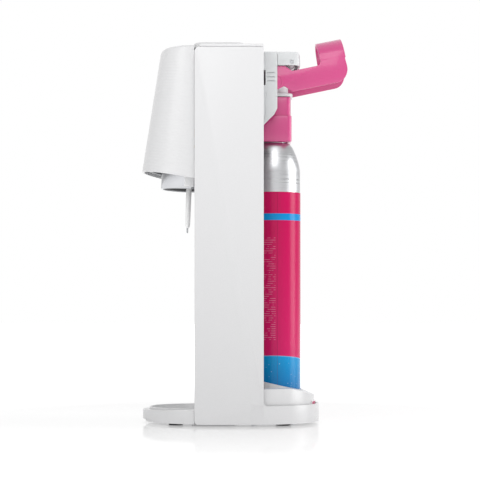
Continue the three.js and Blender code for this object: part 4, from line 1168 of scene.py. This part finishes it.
def build_nozzle():
    low = collar_bottom - 42.2
    high = collar_top - 0.4
    tube = spun([(0, low + 0.2), (1.4, low), (1.8, low + 0.2), (2.75, low + 2.2), (2.8, low + 3), (3, low + 20),
                 (3, high), (0, high)], nozzle_y, 0, 64)
    cut(tube, rod((0, nozzle_y), 1.3, low - 1, high + 9, sides=32))
    tube.data.transform(holder_lean)
    smooth(tube)
    deliver(tube, "nozzle_pipe", "bottle_holder", "grey_plastic", acetal, "nozzle_tube")
    jet = spun([(0, low - 5.6), (0.6, low - 5.6), (0.9, low - 5.2), (1, low - 4.8), (1, low + 4), (0, low + 4)],
               nozzle_y, 0, 32)
    cut(jet, rod((0, nozzle_y), 0.4, low - 7, low + 5, sides=16))
    jet.data.transform(holder_lean)
    smooth(jet)
    deliver(jet, "nozzle_jet", "bottle_holder", "steel", zinc_steel, "nozzle_tip")


build_nozzle()

# ---- Tag ------------------------------------------------------------------------------------
# Small pink tab with a white edge, low on the side of the cylinder seat. A printed vinyl label
# stuck to the plastic, with nothing written on it.


def printed_tab():
    # Vinyl with a pink field and a plain white border all round.
    material, tree = empty_material("pink_vinyl_tab")
    low, high = box_mm("cylinder_tag")
    place = put(tree, "ShaderNodeTexCoord")
    parts = put(tree, "ShaderNodeSeparateXYZ", {"Vector": place.outputs["Object"]})
    inside = None
    for axis, start, end in (("X", low.x, high.x), ("Z", low.z, high.z)):
        offset = put(tree, "ShaderNodeMath", {0: parts.outputs[axis], 1: (start + end) / 2 * mm},
                     operation="SUBTRACT")
        span = put(tree, "ShaderNodeMath", {0: offset.outputs[0]}, operation="ABSOLUTE")
        test = put(tree, "ShaderNodeMath", {0: span.outputs[0], 1: ((end - start) / 2 - 0.8) * mm},
                   operation="LESS_THAN")
        inside = test.outputs[0] if inside is None else put(
            tree, "ShaderNodeMath", {0: inside, 1: test.outputs[0]}, operation="MULTIPLY").outputs[0]
    ink = put(tree, "ShaderNodeMix", {0: inside}, data_type="RGBA")
    ink.inputs[6].default_value = linear("#F1F0F1")
    ink.inputs[7].default_value = linear("#B5295F")
    surface = put(tree, "ShaderNodeBsdfPrincipled",
                  {"Base Color": ink.outputs[2], "Roughness": 0.4})
    give_surface(tree, surface)
    return material


def build_tag():
    low, high = box_mm("cylinder_tag")
    grown = prism(skirt(4.6 - 1.1), low.z, high.z)
    cut(grown, prism(skirt(4.6 - 0.3), low.z - 5, high.z + 5))
    common(grown, block((low.x, high.x), (base_y + 60, base_y + 99), (low.z, high.z)))
    smooth(grown)
    deliver(grown, "seat_tab", "machine", "pink_plastic", printed_tab(), "cylinder_tag")


build_tag()

# ---- Remaining hidden pieces ----------------------------------------------------------------
# Pieces inside the head and under the base that only show through gaps keep their frame shapes
# and take the material that the real piece is made of.

# Silicone gas hose, milky and slightly soft.
silicone = moulded_plastic("milky_silicone_hose", "#DFDFDC", 0.5)


def dress(material, *names):
    for name in names:
        mesh = bpy.data.objects[name].data
        mesh.materials.clear()
        mesh.materials.append(material)


screws = [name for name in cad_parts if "_screw_" in name]
dress(zinc_steel, "actuator_pin", "push_pin", "holder_pin_left", "holder_pin_right", "button_spring",
      "relief_valve_stem", "cylinder_valve_pin", *screws)
dress(brass, "seal_plunger", "gas_manifold", "relief_valve_body", "cylinder_valve")
dress(rubber, "plunger_gasket", "bottle_seal", "cylinder_valve_seal")
dress(grey_abs, "actuator_rocker", "head_chassis", "nozzle_carrier")
dress(silicone, "gas_hose")
